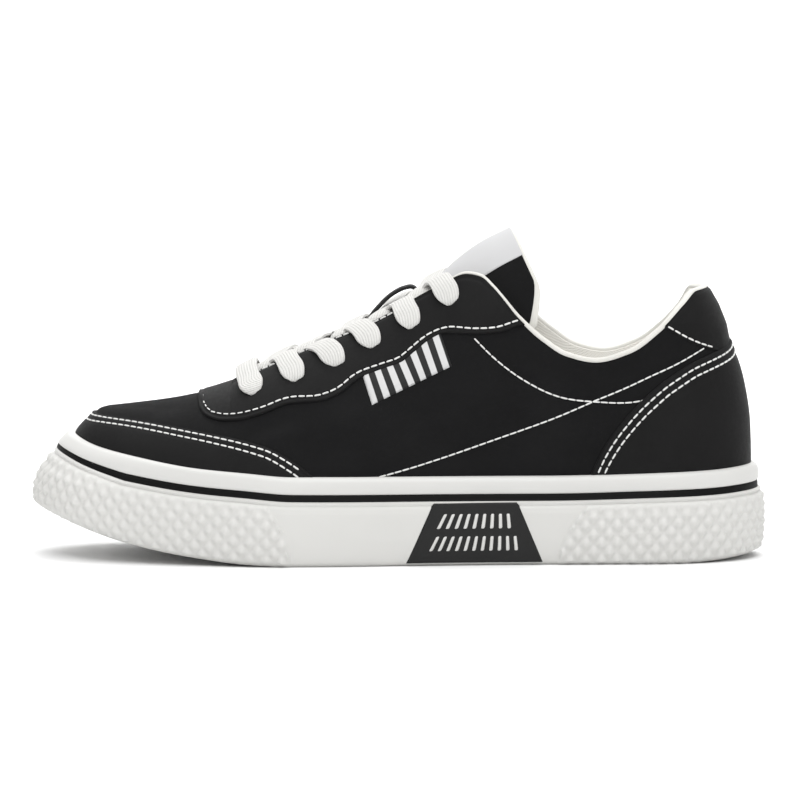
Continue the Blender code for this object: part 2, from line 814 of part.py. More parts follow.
def tongue_point(along, across):
    """A point of the tongue's top face: along it from the vamp to the tip, across it from -1 to 1."""
    along, across = np.broadcast_arrays(np.asarray(along, float), np.asarray(across, float))
    x = TONGUE["x"][0] + (TONGUE["x"][-1] - TONGUE["x"][0]) * along
    lean = np.radians(blend(TONGUE, "x", "lean", x))
    drop = blend(TONGUE, "x", "fall", x) * np.abs(across) ** 2.2
    y = blend(TONGUE, "x", "half_wide", x) * across * (1.06 - 0.06 * across**2)
    y = y + blend(OUTLINE, "station", "centre", x)
    z = blend(TONGUE, "x", "height", x) - drop * np.cos(lean)
    return np.stack([x + drop * np.sin(lean), y, z], axis=-1)


def tongue_offset(along, across, offset):
    """A point off the tongue's top face."""
    along, across = np.broadcast_arrays(np.asarray(along, float), np.asarray(across, float))
    nudge = 2e-3
    forward = tongue_point(along + nudge, across) - tongue_point(along - nudge, across)
    sideways = tongue_point(along, across + nudge) - tongue_point(along, across - nudge)
    normal = np.cross(forward, sideways)
    normal /= np.linalg.norm(normal, axis=-1, keepdims=True)
    return tongue_point(along, across) + normal * np.asarray(offset)[..., None]


def make_tongue(finishes, collection):
    """The padded tongue and the blank label on its top."""
    along, across = np.linspace(0.01, 0.99, 14)[:, None], np.linspace(-1, 1, 11)[None, :]
    depth = TONGUE_THICK + (TONGUE_EDGE - TONGUE_THICK) * np.abs(across) ** 3 + 0 * along
    under, face = tongue_offset(along, across, -depth), tongue_point(along, across)
    slab_solid("tongue", under, face, finishes["canvas"], collection)
    along = np.linspace(*TONGUE_LABEL_SPAN, 5)[:, None]
    across = np.linspace(-TONGUE_LABEL_HALF, TONGUE_LABEL_HALF, 7)[None, :]
    low = tongue_offset(along, across, np.full((5, 7), 2 * GAP))
    high = tongue_offset(along, across, np.full((5, 7), 2 * GAP + LABEL_WALL))
    slab_solid("tongue_label", low, high, finishes["label"], collection)


def add_ribbon(bm, path, ups, wide, thick):
    """Adds a flat woven strip along a path, its face towards the given directions."""
    tangent = np.gradient(path, axis=0)
    sideways = np.cross(ups, tangent)
    sideways /= np.linalg.norm(sideways, axis=1, keepdims=True)
    ups = np.cross(tangent, sideways)
    ups /= np.linalg.norm(ups, axis=1, keepdims=True)
    outline = ((-0.5, 0.0), (-0.36, 0.5), (0.36, 0.5), (0.5, 0.0), (0.36, -0.5), (-0.36, -0.5))
    rings = [path + sideways * (a * wide) + ups * (b * thick) for a, b in outline]
    verts = add_grid(bm, np.stack(rings, axis=1), closed_rows=True)
    bm.faces.new(verts[0])
    bm.faces.new(verts[-1][::-1])


def smooth_path(points, count):
    """A path of even steps through a few points."""
    points = np.array(points, float)
    reach = np.concatenate([[0], np.cumsum(np.linalg.norm(np.diff(points, axis=0), axis=1))])
    at = np.linspace(0, reach[-1], count)
    axes = [blend({"s": reach, "v": points[:, axis]}, "s", "v", at) for axis in range(3)]
    return np.stack(axes, axis=1)


def edge_place(index, lateral, lift):
    """Where the lace of one hole passes the throat edge, lifted off the eyestay."""
    angle = elevation_angle(EYELETS["x"][index], EYELETS["height"][index], lateral)
    return offset_point(angle, LACE_EDGE, lift)


def middle_place(x, lift):
    """A place over the tongue's centre line."""
    along = (x - TONGUE["x"][0]) / (TONGUE["x"][-1] - TONGUE["x"][0])
    return tongue_offset(along, 0.0, np.array(lift))


def ribbon_object(name, path, finish, collection):
    """One lace strip over the throat as an object of its own, laid to the slope of the instep."""
    bm = bmesh.new()
    x = path[:, 0].max() - LACE_WIDE / 2
    slope = (blend(TOP_EDGE, "station", "height", x + 4) - blend(TOP_EDGE, "station", "height", x - 4)) / 8
    ups = np.tile([-float(slope), 0.0, 1.0], (len(path), 1))
    ups[:, 1] = (path[:, 1] - path[:, 1].mean()) * LACE_CROWN
    add_ribbon(bm, path, ups, LACE_WIDE, LACE_THICK)
    return add_object(name, bm, finish, collection)


def make_laces(finish, collection, tools):
    """The straight bar at the first holes and a crossing at each later pair."""
    lift = GAP + OVERLAY_WALL + LACE_THICK / 2 + 3 * GAP
    ends = [eyelet_place(0, side, lift)[0] for side in (True, False)]
    edges = [edge_place(0, side, lift + LACE_BAR_EDGE) for side in (True, False)]
    middle = (edges[0] + edges[1]) / 2 + np.array([0.0, 0.0, LACE_BAR_RISE])
    bar = smooth_path([ends[0], edges[0], middle, edges[1], ends[1]], 11)
    ribbon_object("lace_bar_1", bar, finish, collection)
    for index in range(1, len(EYELETS["x"])):
        back, front = EYELETS["x"][index], EYELETS["x"][index - 1]
        strips = []
        for side, rise in ((True, 0.0), (False, LACE_OVER)):
            end, edge = eyelet_place(index, side, lift)[0], edge_place(index, side, lift + LACE_EDGE_RISE)
            middle = middle_place(front + (back - front) * LACE_CROSS_AT, LACE_CROSS_LIFT + rise)
            far = middle_place(front + (back - front) * LACE_DIVE_AT, LACE_DIVE_LIFT)
            far[1] = edge_place(index - 1, not side, 0.0)[1] * LACE_DIVE_IN
            path = smooth_path([end, edge, middle, far], 8)
            name = f"lace_cross_{index + 1}" if side else f"lace_over_{index + 1}"
            strips.append(ribbon_object(name, path, finish, collection if side else tools))
        join = strips[0].modifiers.new("join", "BOOLEAN")
        join.operation = "UNION"
        join.object = strips[1]
        strips[1].hide_render = True
        strips[1].display_type = "WIRE"


def make_lace_keeper(finish, collection):
    """The loop on the tongue that holds the laces."""
    lifts = table("x lift", (-10.6, 1.0), (-9.2, 7.0), (-3.0, 10.2), (5.0, 9.0), (8.5, 1.0))
    path = smooth_path([middle_place(x, lift) for x, lift in zip(lifts["x"], lifts["lift"])], 14)
    tangent = np.gradient(path, axis=0)
    bm = bmesh.new()
    add_ribbon(bm, path, np.cross(tangent, np.array([0.0, -1.0, 0.0])), 2 * KEEPER_HALF, KEEPER_THICK)
    add_object("lace_keeper", bm, finish, collection)


def main():
    """Clears the scene and makes every piece of the shoe."""
    for old in list(bpy.data.objects):
        bpy.data.objects.remove(old)
    shoe = bpy.data.collections.new("low_top_sneaker")
    tools = bpy.data.collections.new("cutters")
    bpy.context.scene.collection.children.link(shoe)
    bpy.context.scene.collection.children.link(tools)
    finishes = {
        "canvas": material("black_canvas", (0.012, 0.012, 0.013), 0.85),
        "overlay": material("black_overlay", (0.016, 0.016, 0.017), 0.7),
        "white_rubber": material("white_rubber", (0.78, 0.78, 0.76), 0.5),
        "black_rubber": material("black_rubber", (0.015, 0.015, 0.016), 0.45),
        "lace": material("white_lace", (0.8, 0.8, 0.77), 0.9),
        "foam": material("insole_foam", (0.62, 0.59, 0.52), 0.9),
        "label": material("label_weave", (0.8, 0.8, 0.8), 0.8),
    }
    upper = make_upper(finishes["canvas"], shoe)
    cupsole = make_sole(finishes, shoe)
    make_sole_patch(finishes, cupsole, shoe, tools)
    make_insole(finishes["foam"], shoe)
    make_toe_overlay(finishes["overlay"], shoe)
    make_heel_counter(finishes["overlay"], shoe)
    make_heel_tab(finishes["overlay"], shoe)
    eyestay = make_eyestay(finishes["overlay"], shoe)
    cutter = make_eyelet_cutter(tools)
    cut(upper, cutter)
    cut(eyestay, cutter)
    make_side_tab(finishes["label"], shoe)
    make_tongue(finishes, shoe)
    make_lace_keeper(finishes["overlay"], shoe)
    make_laces(finishes["lace"], shoe, tools)


main()
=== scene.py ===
"""Dresses the low-top canvas sneaker: stitched upper, flat laces, tongue and knurled cupsole.

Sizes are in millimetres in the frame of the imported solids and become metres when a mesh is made. The toe
points along -X, the outer side of this left shoe faces -Y, and +Z is up. The upper is one surface of an
angle round the foot (0 at the toe, a half turn at the heel) and a height (0 at the feather line, 1 at the
collar, throat edge or vamp ridge). Every panel, seam, band and lace is laid on that surface.
"""

import logging
import math
from dataclasses import dataclass, field
from enum import Enum

import bmesh
import bpy
import numpy as np
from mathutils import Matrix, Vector


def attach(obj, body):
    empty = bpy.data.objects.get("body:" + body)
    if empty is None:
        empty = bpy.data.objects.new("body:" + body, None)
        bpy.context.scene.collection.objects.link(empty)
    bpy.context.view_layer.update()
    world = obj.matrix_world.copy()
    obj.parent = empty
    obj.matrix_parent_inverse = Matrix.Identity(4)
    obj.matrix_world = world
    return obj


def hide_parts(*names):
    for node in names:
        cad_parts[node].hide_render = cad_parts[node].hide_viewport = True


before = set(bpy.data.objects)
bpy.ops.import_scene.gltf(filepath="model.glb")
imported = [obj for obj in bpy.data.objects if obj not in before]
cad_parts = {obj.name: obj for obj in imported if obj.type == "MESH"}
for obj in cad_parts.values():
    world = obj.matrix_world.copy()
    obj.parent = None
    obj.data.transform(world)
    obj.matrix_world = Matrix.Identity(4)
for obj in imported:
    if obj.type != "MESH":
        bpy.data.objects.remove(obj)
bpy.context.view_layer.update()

LOG = logging.getLogger("sneaker")
Array = np.ndarray
Table = dict[str, Array]
Pair = tuple[float, float]
Triple = tuple[float, float, float]
Line = tuple[Pair, ...]

MM = 0.001
MIDDLE = np.array([-0.1133, -0.0758, 0.0])
BODY = "root"
WEAVE_MAP = "weave"
SHARP_ANGLE = math.radians(50)
TINY_EDGE = 0.0005
NEAR_TOP = 0.985


class Side(Enum):
    """The two sides of a left shoe, by the sign of Y."""

    OUTER = -1
    INNER = 1


class Slot(Enum):
    """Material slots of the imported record."""

    CANVAS = "black_canvas"
    OVERLAY = "black_overlay"
    WHITE_RUBBER = "white_rubber"
    BLACK_RUBBER = "black_rubber"
    LACE = "white_lace"
    FOAM = "insole_foam"
    LABEL = "label_weave"


def table(columns: str, *rows: tuple[float, ...]) -> Table:
    """Makes a short table with named columns.

    Args:
        columns: Column names, separated by spaces.
        rows: One tuple of numbers for each row.

    Returns:
        One array for each column, sorted by the first column.
    """
    ordered = sorted(rows)
    return {name: np.array(values, float) for name, values in zip(columns.split(), zip(*ordered))}


def blend(columns: Table, name: str, at: Array | float) -> Array:
    """Reads a smooth curve through one column of a table, with no overshoot.

    Args:
        columns: The table, whose first column the curve runs along.
        name: The column to read.
        at: Places along the first column.

    Returns:
        The curve's values at those places.
    """
    x, y = next(iter(columns.values())), columns[name]
    step = np.diff(x)
    slope = np.diff(y) / step
    inner = np.zeros(len(x))
    same = slope[:-1] * slope[1:] > 0
    first, second = 2 * step[1:] + step[:-1], step[1:] + 2 * step[:-1]
    with np.errstate(divide="ignore", invalid="ignore"):
        mean = (first + second) / (first / slope[:-1] + second / slope[1:])
    inner[1:-1] = np.where(same, mean, 0.0)
    inner[0], inner[-1] = slope[0], slope[-1]
    at = np.clip(np.asarray(at, float), x[0], x[-1])
    k = np.clip(np.searchsorted(x, at, side="right") - 1, 0, len(x) - 2)
    t = (at - x[k]) / step[k]
    return (
        y[k] * (1 + 2 * t) * (1 - t) ** 2
        + inner[k] * step[k] * t * (1 - t) ** 2
        + y[k + 1] * t * t * (3 - 2 * t)
        + inner[k + 1] * step[k] * t * t * (t - 1)
    )


def together(*values: Array | float) -> tuple[Array, ...]:
    """Spreads values to one common shape, as floats."""
    return tuple(np.broadcast_arrays(*(np.asarray(value, float) for value in values)))


def ramp(low: float, high: float, value: Array) -> Array:
    """Rises smoothly from 0 at low to 1 at high."""
    t = np.clip((np.asarray(value, float) - low) / (high - low), 0, 1)
    return t * t * (3 - 2 * t)


def bump(value: Array, middle: float, reach: float) -> Array:
    """A soft bell of height 1 round a middle value."""
    return np.exp(-(((np.asarray(value, float) - middle) / reach) ** 2))


def unit(vectors: Array) -> Array:
    """Scales vectors to length 1."""
    return vectors / np.maximum(np.linalg.norm(vectors, axis=-1, keepdims=True), 1e-9)


def arc_lengths(points: Array) -> Array:
    """Lengths along a line of points, from 0 at its first point."""
    steps = np.linalg.norm(np.diff(points, axis=0), axis=1)
    return np.concatenate([[0.0], np.cumsum(steps)])


def even_path(points: Array, count: int) -> Array:
    """Lays even steps on a smooth curve through a few points.

    Args:
        points: The points to pass, one row each.
        count: How many points the result has.

    Returns:
        The points of the smooth curve.
    """
    points = np.asarray(points, float)
    reach = arc_lengths(points)
    at = np.linspace(0, reach[-1], count)
    return np.stack([catmull(reach, points[:, axis], at) for axis in range(points.shape[1])], axis=1)


def catmull(key: Array, values: Array, at: Array) -> Array:
    """Reads a curve through values with rounded turns.

    Args:
        key: Increasing places of the values.
        values: The values at those places.
        at: Places to read.

    Returns:
        The curve at the places.
    """
    slope = np.gradient(values, key)
    k = np.clip(np.searchsorted(key, at, side="right") - 1, 0, len(key) - 2)
    step = key[k + 1] - key[k]
    t = (at - key[k]) / step
    return (
        values[k] * (1 + 2 * t) * (1 - t) ** 2
        + slope[k] * step * t * (1 - t) ** 2
        + values[k + 1] * t * t * (3 - 2 * t)
        + slope[k + 1] * step * t * t * (t - 1)
    )


OUTLINE = table(
    "station lateral medial centre",
    (138, 33.0, 33.0, 0.0), (100, 33.5, 33.0, 0.0), (57, 35.0, 31.0, 0.0), (16, 39.0, 32.0, 0.0),
    (-25, 45.0, 40.0, 0.0), (-52, 47.0, 45.0, 0.6), (-79, 44.5, 46.0, 2.2), (-107, 40.0, 43.0, 4.5),
    (-134, 37.0, 40.0, 6.5),
)
LEVELS = table(
    "station bottom bed rim",
    (138, 2.5, 24.8, 37.6), (121, 0.6, 24.4, 36.5), (108, 0.0, 24.0, 36.1), (57, 0.0, 21.8, 34.9),
    (16, 0.0, 20.0, 35.0), (-42, 0.0, 18.8, 35.3), (-60, 0.8, 19.2, 36.7), (-79, 2.9, 20.2, 38.2),
    (-107, 8.4, 23.4, 42.4), (-122, 13.4, 27.0, 45.3), (-134, 18.8, 31.0, 48.9),
)
TOP_EDGE = table(
    "station height half_gap",
    (138, 107.6, 27.5), (129, 106.8, 28.5), (120, 101.8, 29.5), (105, 91.2, 31.0), (92, 83.5, 32.0),
    (78, 80.0, 32.0), (66, 82.5, 31.5), (58, 87.4, 30.5), (47, 96.7, 28.0), (41, 104.0, 26.0),
    (37, 108.6, 24.8), (32, 112.8, 23.0), (27, 113.6, 21.4), (18, 109.8, 18.5), (-9, 94.6, 15.5),
    (-39, 81.8, 14.5), (-54, 74.9, 13.5), (-66, 69.2, 12.5), (-79, 65.2, 0.0), (-107, 61.5, 0.0),
    (-120, 60.5, 0.0), (-134, 59.6, 0.0),
)
SHOULDER = table(
    "station swell rise shoulder drop",
    (138, 1.5, 22.0, 30.5, 26.0), (105, 2.0, 18.0, 34.0, 20.0), (78, 2.0, 16.0, 35.5, 18.0),
    (57, 2.0, 18.0, 36.5, 22.0), (27, 2.5, 24.0, 35.0, 24.0), (-9, 3.0, 22.0, 35.5, 13.0),
    (-39, 4.0, 20.0, 36.0, 9.0), (-66, 4.0, 20.0, 33.0, 3.0), (-79, 4.0, 20.0, 30.5, 0.6),
    (-107, 4.0, 18.0, 28.0, 0.0), (-134, 3.0, 14.0, 26.0, 0.0),
)
HEEL_LEAN = table(
    "height inset",
    (24.0, 0.0), (38.0, -1.6), (53.0, -1.2), (70.0, 1.3), (81.0, 4.6), (92.0, 8.6), (102.0, 12.6),
    (106.0, 14.2), (109.0, 17.0),
)
TOE_LEAN = table(
    "height inset",
    (27.0, 0.0), (36.0, 1.0), (44.0, 3.0), (50.0, 6.2), (55.0, 10.8), (58.4, 14.2), (59.8, 19.0),
)
SOLE_SIDE = table(
    "drop side heel toe",
    (-2.6, 1.4, 1.6, 2.4), (0.0, 2.0, 2.6, 4.4), (1.2, 2.8, 3.7, 5.8), (3.6, 3.1, 4.3, 8.0),
    (6.9, 2.8, 4.1, 9.4), (9.3, 3.0, 4.2, 10.9), (10.2, 4.2, 4.9, 11.3), (14.4, 5.0, 5.2, 14.4),
)
SOLE_FOOT = table(
    "rise side heel toe",
    (0.0, 2.6, 2.2, 11.4), (1.6, 4.4, 4.0, 14.9), (5.0, 5.0, 4.7, 16.9), (10.0, 5.2, 5.1, 16.5),
)
TOE_EDGE = table(
    "x height",
    (-33.7, 35.4), (-41.2, 41.0), (-52.2, 46.6), (-70.0, 50.4), (-102.0, 54.7), (-118.0, 56.1),
    (-126.0, 57.0),
)
COUNTER_EDGE = table(
    "x height",
    (75.6, 35.6), (80.8, 46.0), (87.6, 55.6), (97.4, 66.0), (106.0, 73.0), (116.7, 79.4), (131.0, 86.6),
)
EYESTAY_EDGE = table(
    "x height",
    (-79.8, 63.6), (-79.0, 60.2), (-76.0, 57.2), (-70.0, 55.8), (-64.0, 56.2), (-53.6, 59.0),
    (-43.4, 62.9), (-30.2, 64.3), (-23.0, 67.2), (-15.9, 72.6), (-6.7, 76.2), (1.4, 79.2), (6.2, 83.0),
    (13.0, 88.2), (18.8, 90.6), (29.5, 90.4), (39.2, 91.0), (48.0, 93.6), (50.4, 94.0),
)
HEEL_TAB_EDGE = table(
    "x height",
    (104.6, 93.0), (108.2, 90.9), (113.6, 87.8), (119.4, 85.2), (125.6, 83.1), (131.0, 81.0),
)
EYELETS = table(
    "x height",
    (-57.5, 66.6), (-41.2, 72.2), (-25.0, 78.4), (-10.8, 85.6), (4.6, 93.4), (20.4, 103.0),
)
TONGUE = table(
    "x height half_wide fall lean",
    (-76.0, 62.0, 22.0, 5.0, 11.0), (-66.0, 65.6, 24.0, 7.5, 13.0), (-50.0, 73.6, 25.5, 11.5, 13.0),
    (-30.0, 82.4, 26.0, 14.0, 13.0), (-8.0, 91.8, 26.0, 17.0, 14.0), (10.0, 104.0, 25.5, 23.0, 18.0),
    (23.0, 117.4, 25.0, 37.0, 22.0), (34.5, 126.0, 25.0, 39.0, 24.5), (44.5, 131.0, 25.0, 38.0, 25.0),
)


@dataclass(frozen=True)
class Last:
    """The shape that the shoe is built on, as one surface of angle and height."""

    heel_x: float = 138.0
    toe_x: float = -134.0
    heel_round: float = 42.0
    toe_round: float = 66.0
    heel_power: float = 2.2
    toe_power: float = 2.3
    heel_reach: float = 0.32
    toe_reach: float = 0.22
    throat_x: float = -66.0
    throat_round: float = 13.0
    medial_back: float = 5.5
    medial_span: tuple[float, float, float, float] = (28.0, 48.0, 122.0, 138.0)
    bed_gap: float = 0.35
    halvings: int = 26
    rounds: int = 30

    def share(self, station: Array) -> Array:
        """Place along the foot: 0 at the heel, 1 at the toe."""
        return (self.heel_x - station) / (self.heel_x - self.toe_x)

    def heel_pull(self, station: Array) -> Array:
        """How much of the heel's lean a station takes."""
        return np.clip(1 - self.share(station) / self.heel_reach, 0, 1) ** 2

    def toe_pull(self, station: Array) -> Array:
        """How much of the toe's lean a station takes."""
        return np.clip(1 - (1 - self.share(station)) / self.toe_reach, 0, 1) ** 1.5

    def station(self, angle: Array) -> Array:
        """The place along the shoe of an angle round it."""
        return self.toe_x + (self.heel_x - self.toe_x) * (1 - np.cos(angle)) / 2

    def angle(self, station: Array, side: Side) -> Array:
        """The angle of a place along the shoe, on one side."""
        turn = 1 - 2 * (np.asarray(station, float) - self.toe_x) / (self.heel_x - self.toe_x)
        return side.value * np.arccos(np.clip(turn, -1, 1))

    def level(self, name: str, angle: Array) -> Array:
        """A height of the sole (bottom, bed or rim) at an angle."""
        return blend(LEVELS, name, self.station(angle))

    @staticmethod
    def round_end(distance: Array, length: float, power: float) -> Array:
        """A rounded end in plan: 0 at the tip, 1 once a length away from it."""
        near = np.clip(distance / length, 0, 1)
        return (1 - (1 - near) ** power) ** (1 / power)

    def top_height(self, station: Array, outer: Array) -> Array:
        """Height of the top edge; the inner side's collar dips a little further back.

        Args:
            station: Places along the shoe.
            outer: Whether each is on the outer side.

        Returns:
            Heights over the floor.
        """
        start, full, fade, end = self.medial_span
        moved = np.clip((station - start) / (full - start), 0, 1)
        moved = moved * np.clip((end - station) / (end - fade), 0, 1)
        return blend(TOP_EDGE, "height", station - np.where(outer, 0.0, self.medial_back) * moved)

    def section(self, station: Array, outer: Array, height: Array) -> tuple[Array, Array]:
        """The side section of the upper.

        Args:
            station: Places along the shoe.
            outer: Whether each is on the outer side.
            height: Heights from 0 to 1.

        Returns:
            Half widths and z values.
        """
        sides = (blend(OUTLINE, name, station) for name in ("lateral", "medial"))
        base = np.where(outer, *sides)
        low = blend(LEVELS, "bed", station) + self.bed_gap
        high = self.top_height(station, outer)
        gap = blend(TOP_EDGE, "half_gap", station)
        rounded = self.round_end(station - self.throat_x, self.throat_round, 2.0)
        eased = ramp(self.throat_x - self.throat_round, self.throat_x + self.throat_round, station)
        gap = gap * (eased + (rounded - eased) * ramp(0.55, 1.0, height))
        names = ("swell", "rise", "shoulder", "drop")
        swell, rise, shoulder, drop = (blend(SHOULDER, name, station) for name in names)
        a, b = (1 - height) ** 3, 3 * height * (1 - height) ** 2
        c, d = 3 * height**2 * (1 - height), height**3
        wide = a * base + b * (base + swell) + c * shoulder + d * gap
        return wide, a * low + b * (low + rise) + c * (high - drop) + d * high

    def point(self, angle: Array, height: Array) -> Array:
        """Points of the upper's outer face, with x, y and z last.

        Args:
            angle: Angles round the foot.
            height: Heights from 0 to 1.

        Returns:
            One point for each.
        """
        angle, height = together(angle, height)
        station = self.station(angle)
        outer = np.sin(angle) < 0
        wide, z = self.section(station, outer, height)
        ends = self.round_end(self.heel_x - station, self.heel_round, self.heel_power)
        ends = ends * self.round_end(station - self.toe_x, self.toe_round, self.toe_power)
        x = station - blend(HEEL_LEAN, "inset", z) * self.heel_pull(station)
        x = x + blend(TOE_LEAN, "inset", z) * self.toe_pull(station)
        y = blend(OUTLINE, "centre", station) + np.where(outer, -1, 1) * wide * ends
        return np.stack([x, y, z], axis=-1)

    def normal(self, angle: Array, height: Array) -> Array:
        """Outward directions of the upper; both sides share one on the vamp ridge.

        Args:
            angle: Angles round the foot.
            height: Heights from 0 to 1.

        Returns:
            Unit vectors.
        """
        angle, height = together(angle, height)
        own = self.side_normal(angle, height)
        ridge = (height > NEAR_TOP) & (self.station(angle) <= self.throat_x + 1e-6)
        if not ridge.any():
            return own
        both = unit(own + self.side_normal(-angle, height))
        return np.where(ridge[..., None], both, own)

    def side_normal(self, angle: Array, height: Array) -> Array:
        """Outward directions of one side of the upper.

        Args:
            angle: Angles round the foot.
            height: Heights from 0 to 1.

        Returns:
            Unit vectors.
        """
        nudge = 1e-3
        height = np.clip(height, nudge, NEAR_TOP)
        around = self.point(angle + nudge, height) - self.point(angle - nudge, height)
        up = self.point(angle, height + nudge) - self.point(angle, height - nudge)
        return unit(np.cross(up, around))

    def offset(self, angle: Array, height: Array, lift: Array | float) -> Array:
        """Points lifted off the upper's outer face."""
        angle, height, lift = together(angle, height, lift)
        return self.point(angle, height) + self.normal(angle, height) * lift[..., None]

    def height_at(self, angle: Array, z: Array) -> Array:
        """The height value at which the upper reaches z, found by halving.

        Args:
            angle: Angles round the foot.
            z: Heights over the floor.

        Returns:
            Heights from 0 to 1.
        """
        angle, z = together(angle, z)
        low, high = np.zeros(z.shape), np.ones(z.shape)
        for _ in range(self.halvings):
            middle = (low + high) / 2
            below = self.point(angle, middle)[..., 2] < z
            low, high = np.where(below, middle, low), np.where(below, high, middle)
        return (low + high) / 2

    def seen_angle(self, x: Array, z: Array, side: Side) -> Array:
        """The angle of a point that is seen at x and z from one side.

        Args:
            x: Places along the shoe, as they are seen.
            z: Heights over the floor.
            side: The side.

        Returns:
            Angles round the foot.
        """
        station = np.asarray(x, float)
        for _ in range(self.rounds):
            lean = blend(HEEL_LEAN, "inset", z) * self.heel_pull(station)
            station = x + lean - blend(TOE_LEAN, "inset", z) * self.toe_pull(station)
        return self.angle(station, side)

    def edge_height(self, edge: Table, angle: Array) -> Array:
        """Height values of a panel's edge.

        Args:
            edge: The edge in side elevation, as columns x and height.
            angle: Angles to read it at.

        Returns:
            One height value for each angle.
        """
        outline = self.seen_angle(edge["x"], edge["height"], Side.INNER)
        order = np.argsort(outline)
        columns = {"angle": outline[order], "z": edge["height"][order]}
        return self.height_at(angle, blend(columns, "z", np.arccos(np.cos(angle))))

    def level_out(self, angle: Array, height: Array) -> Array:
        """Outward directions of the upper, turned level.

        Args:
            angle: Angles round the foot.
            height: Heights from 0 to 1.

        Returns:
            Level unit vectors.
        """
        out = self.normal(angle, height).copy()
        out[..., 2] = 0
        return unit(out)


LAST = Last()


def column_angles(count: int) -> Array:
    """Columns right round the foot, closer together where the throat ends.

    Args:
        count: How many even columns there are.

    Returns:
        Angles from the heel along the outer side to the toe and back.
    """
    even = np.linspace(-np.pi, np.pi, count, endpoint=False)
    near = LAST.throat_x + np.array([0.0, 0.12, 0.4, 0.9, 1.6, 2.6, 3.8, 5.2, 6.8, 8.6])
    extra = LAST.angle(near, Side.INNER)
    return np.unique(np.round(np.concatenate([even, extra, -extra]), 6))


def link_object(name: str, data: bpy.types.ID) -> bpy.types.Object:
    """Makes an object of a mesh, light or camera and links it to the scene.

    Args:
        name: The object's name.
        data: What it shows.

    Returns:
        The object.
    """
    made = bpy.data.objects.new(name, data)
    bpy.context.scene.collection.objects.link(made)
    return made


class Skin:
    """Collects grids of points into one mesh, with weave coordinates on every corner."""

    def __init__(self) -> None:
        """Starts with nothing."""
        self.points: list[Array] = []
        self.faces: list[list[int]] = []
        self.weave: list[list[Pair]] = []
        self.count = 0

    def add_points(self, points: Array) -> Array:
        """Adds points and gives their numbers, in the same arrangement.

        Args:
            points: Points, with x, y and z last.

        Returns:
            The points' numbers.
        """
        flat = np.asarray(points, float).reshape(-1, 3)
        numbers = np.arange(self.count, self.count + len(flat)).reshape(points.shape[:-1])
        self.points.append(flat)
        self.count += len(flat)
        return numbers

    def add_face(self, corners: list[int], weave: list[Pair] | None = None) -> None:
        """Adds one face."""
        self.faces.append([int(c) for c in corners])
        self.weave.append(weave or [(0.0, 0.0)] * len(corners))

    def add_grid(
        self,
        points: Array,
        around: bool = False,
        across: bool = False,
        skip: Array | None = None,
    ) -> Array:
        """Adds a grid as quads.

        Args:
            points: Columns by rows by xyz.
            around: Whether the last column joins the first.
            across: Whether the last row joins the first.
            skip: Quads to leave out, as a mask of columns by rows.

        Returns:
            The numbers of the grid's points.
        """
        numbers = self.add_points(points)
        columns, rows = numbers.shape
        closed = np.concatenate([points, points[:1]]) if around else points
        closed = np.concatenate([closed, closed[:, :1]], axis=1) if across else closed
        u = np.cumsum(np.linalg.norm(np.diff(closed, axis=0), axis=2).mean(axis=1))
        v = np.cumsum(np.linalg.norm(np.diff(closed, axis=1), axis=2), axis=1)
        u = np.concatenate([[0.0], u])
        v = np.concatenate([np.zeros((len(closed), 1)), v], axis=1)
        for i in range(columns if around else columns - 1):
            for j in range(rows if across else rows - 1):
                if skip is not None and skip[i, j]:
                    continue
                k, m = (i + 1) % columns, (j + 1) % rows
                corners = [numbers[i, j], numbers[k, j], numbers[k, m], numbers[i, m]]
                spots = ((i, j), (i + 1, j), (i + 1, j + 1), (i, j + 1))
                places = [(u[a], v[a, b]) for a, b in spots]
                self.add_face(corners, places)
        return numbers

    def add_cap(self, ring: Array) -> None:
        """Closes a ring of points with triangles fanned round its middle.

        Args:
            ring: The numbers of its points, in order.
        """
        flat = np.concatenate(self.points)
        middle = self.add_points(flat[ring].mean(axis=0)[None, :])[0]
        for a, b in zip(ring, np.roll(ring, -1)):
            self.add_face([a, b, middle])

    def add_closed(self, points: Array) -> None:
        """Adds a grid of rings and closes its first and last ring.

        Args:
            points: Rings by points by xyz.
        """
        numbers = self.add_grid(points, across=True)
        self.add_cap(numbers[0])
        self.add_cap(numbers[-1])

    def build(
        self, name: str, finish: "Finish", slot: Slot, *nodes: str, weld: float = 0.004
    ) -> bpy.types.Object:
        """Makes the object, faces out, and ties it to the frame.

        Args:
            name: The piece's name.
            finish: Its finish.
            slot: The record's material slot; passed on to place_piece, which does not use it.
            nodes: Solids of the frame that it stands for.
            weld: Points nearer than this become one, in millimetres.

        Returns:
            The object.
        """
        mesh = bpy.data.meshes.new(name)
        mesh.from_pydata(((np.concatenate(self.points) - MIDDLE) * MM).tolist(), [], self.faces)
        layer = mesh.uv_layers.new(name=WEAVE_MAP)
        flat = np.array([place for face in self.weave for place in face], np.float32)
        layer.data.foreach_set("uv", flat.ravel())
        bm = bmesh.new()
        bm.from_mesh(mesh)
        bmesh.ops.remove_doubles(bm, verts=bm.verts, dist=weld * MM)
        bmesh.ops.dissolve_degenerate(bm, edges=bm.edges, dist=TINY_EDGE * MM)
        bmesh.ops.holes_fill(bm, edges=bm.edges, sides=0)
        bmesh.ops.recalc_face_normals(bm, faces=bm.faces)
        if bm.calc_volume(signed=True) < 0:
            bmesh.ops.reverse_faces(bm, faces=bm.faces)
        bm.to_mesh(mesh)
        bm.free()
        mesh.shade_smooth()
        mesh.set_sharp_from_angle(angle=SHARP_ANGLE)
        return place_piece(mesh, name, finish, slot, *nodes)


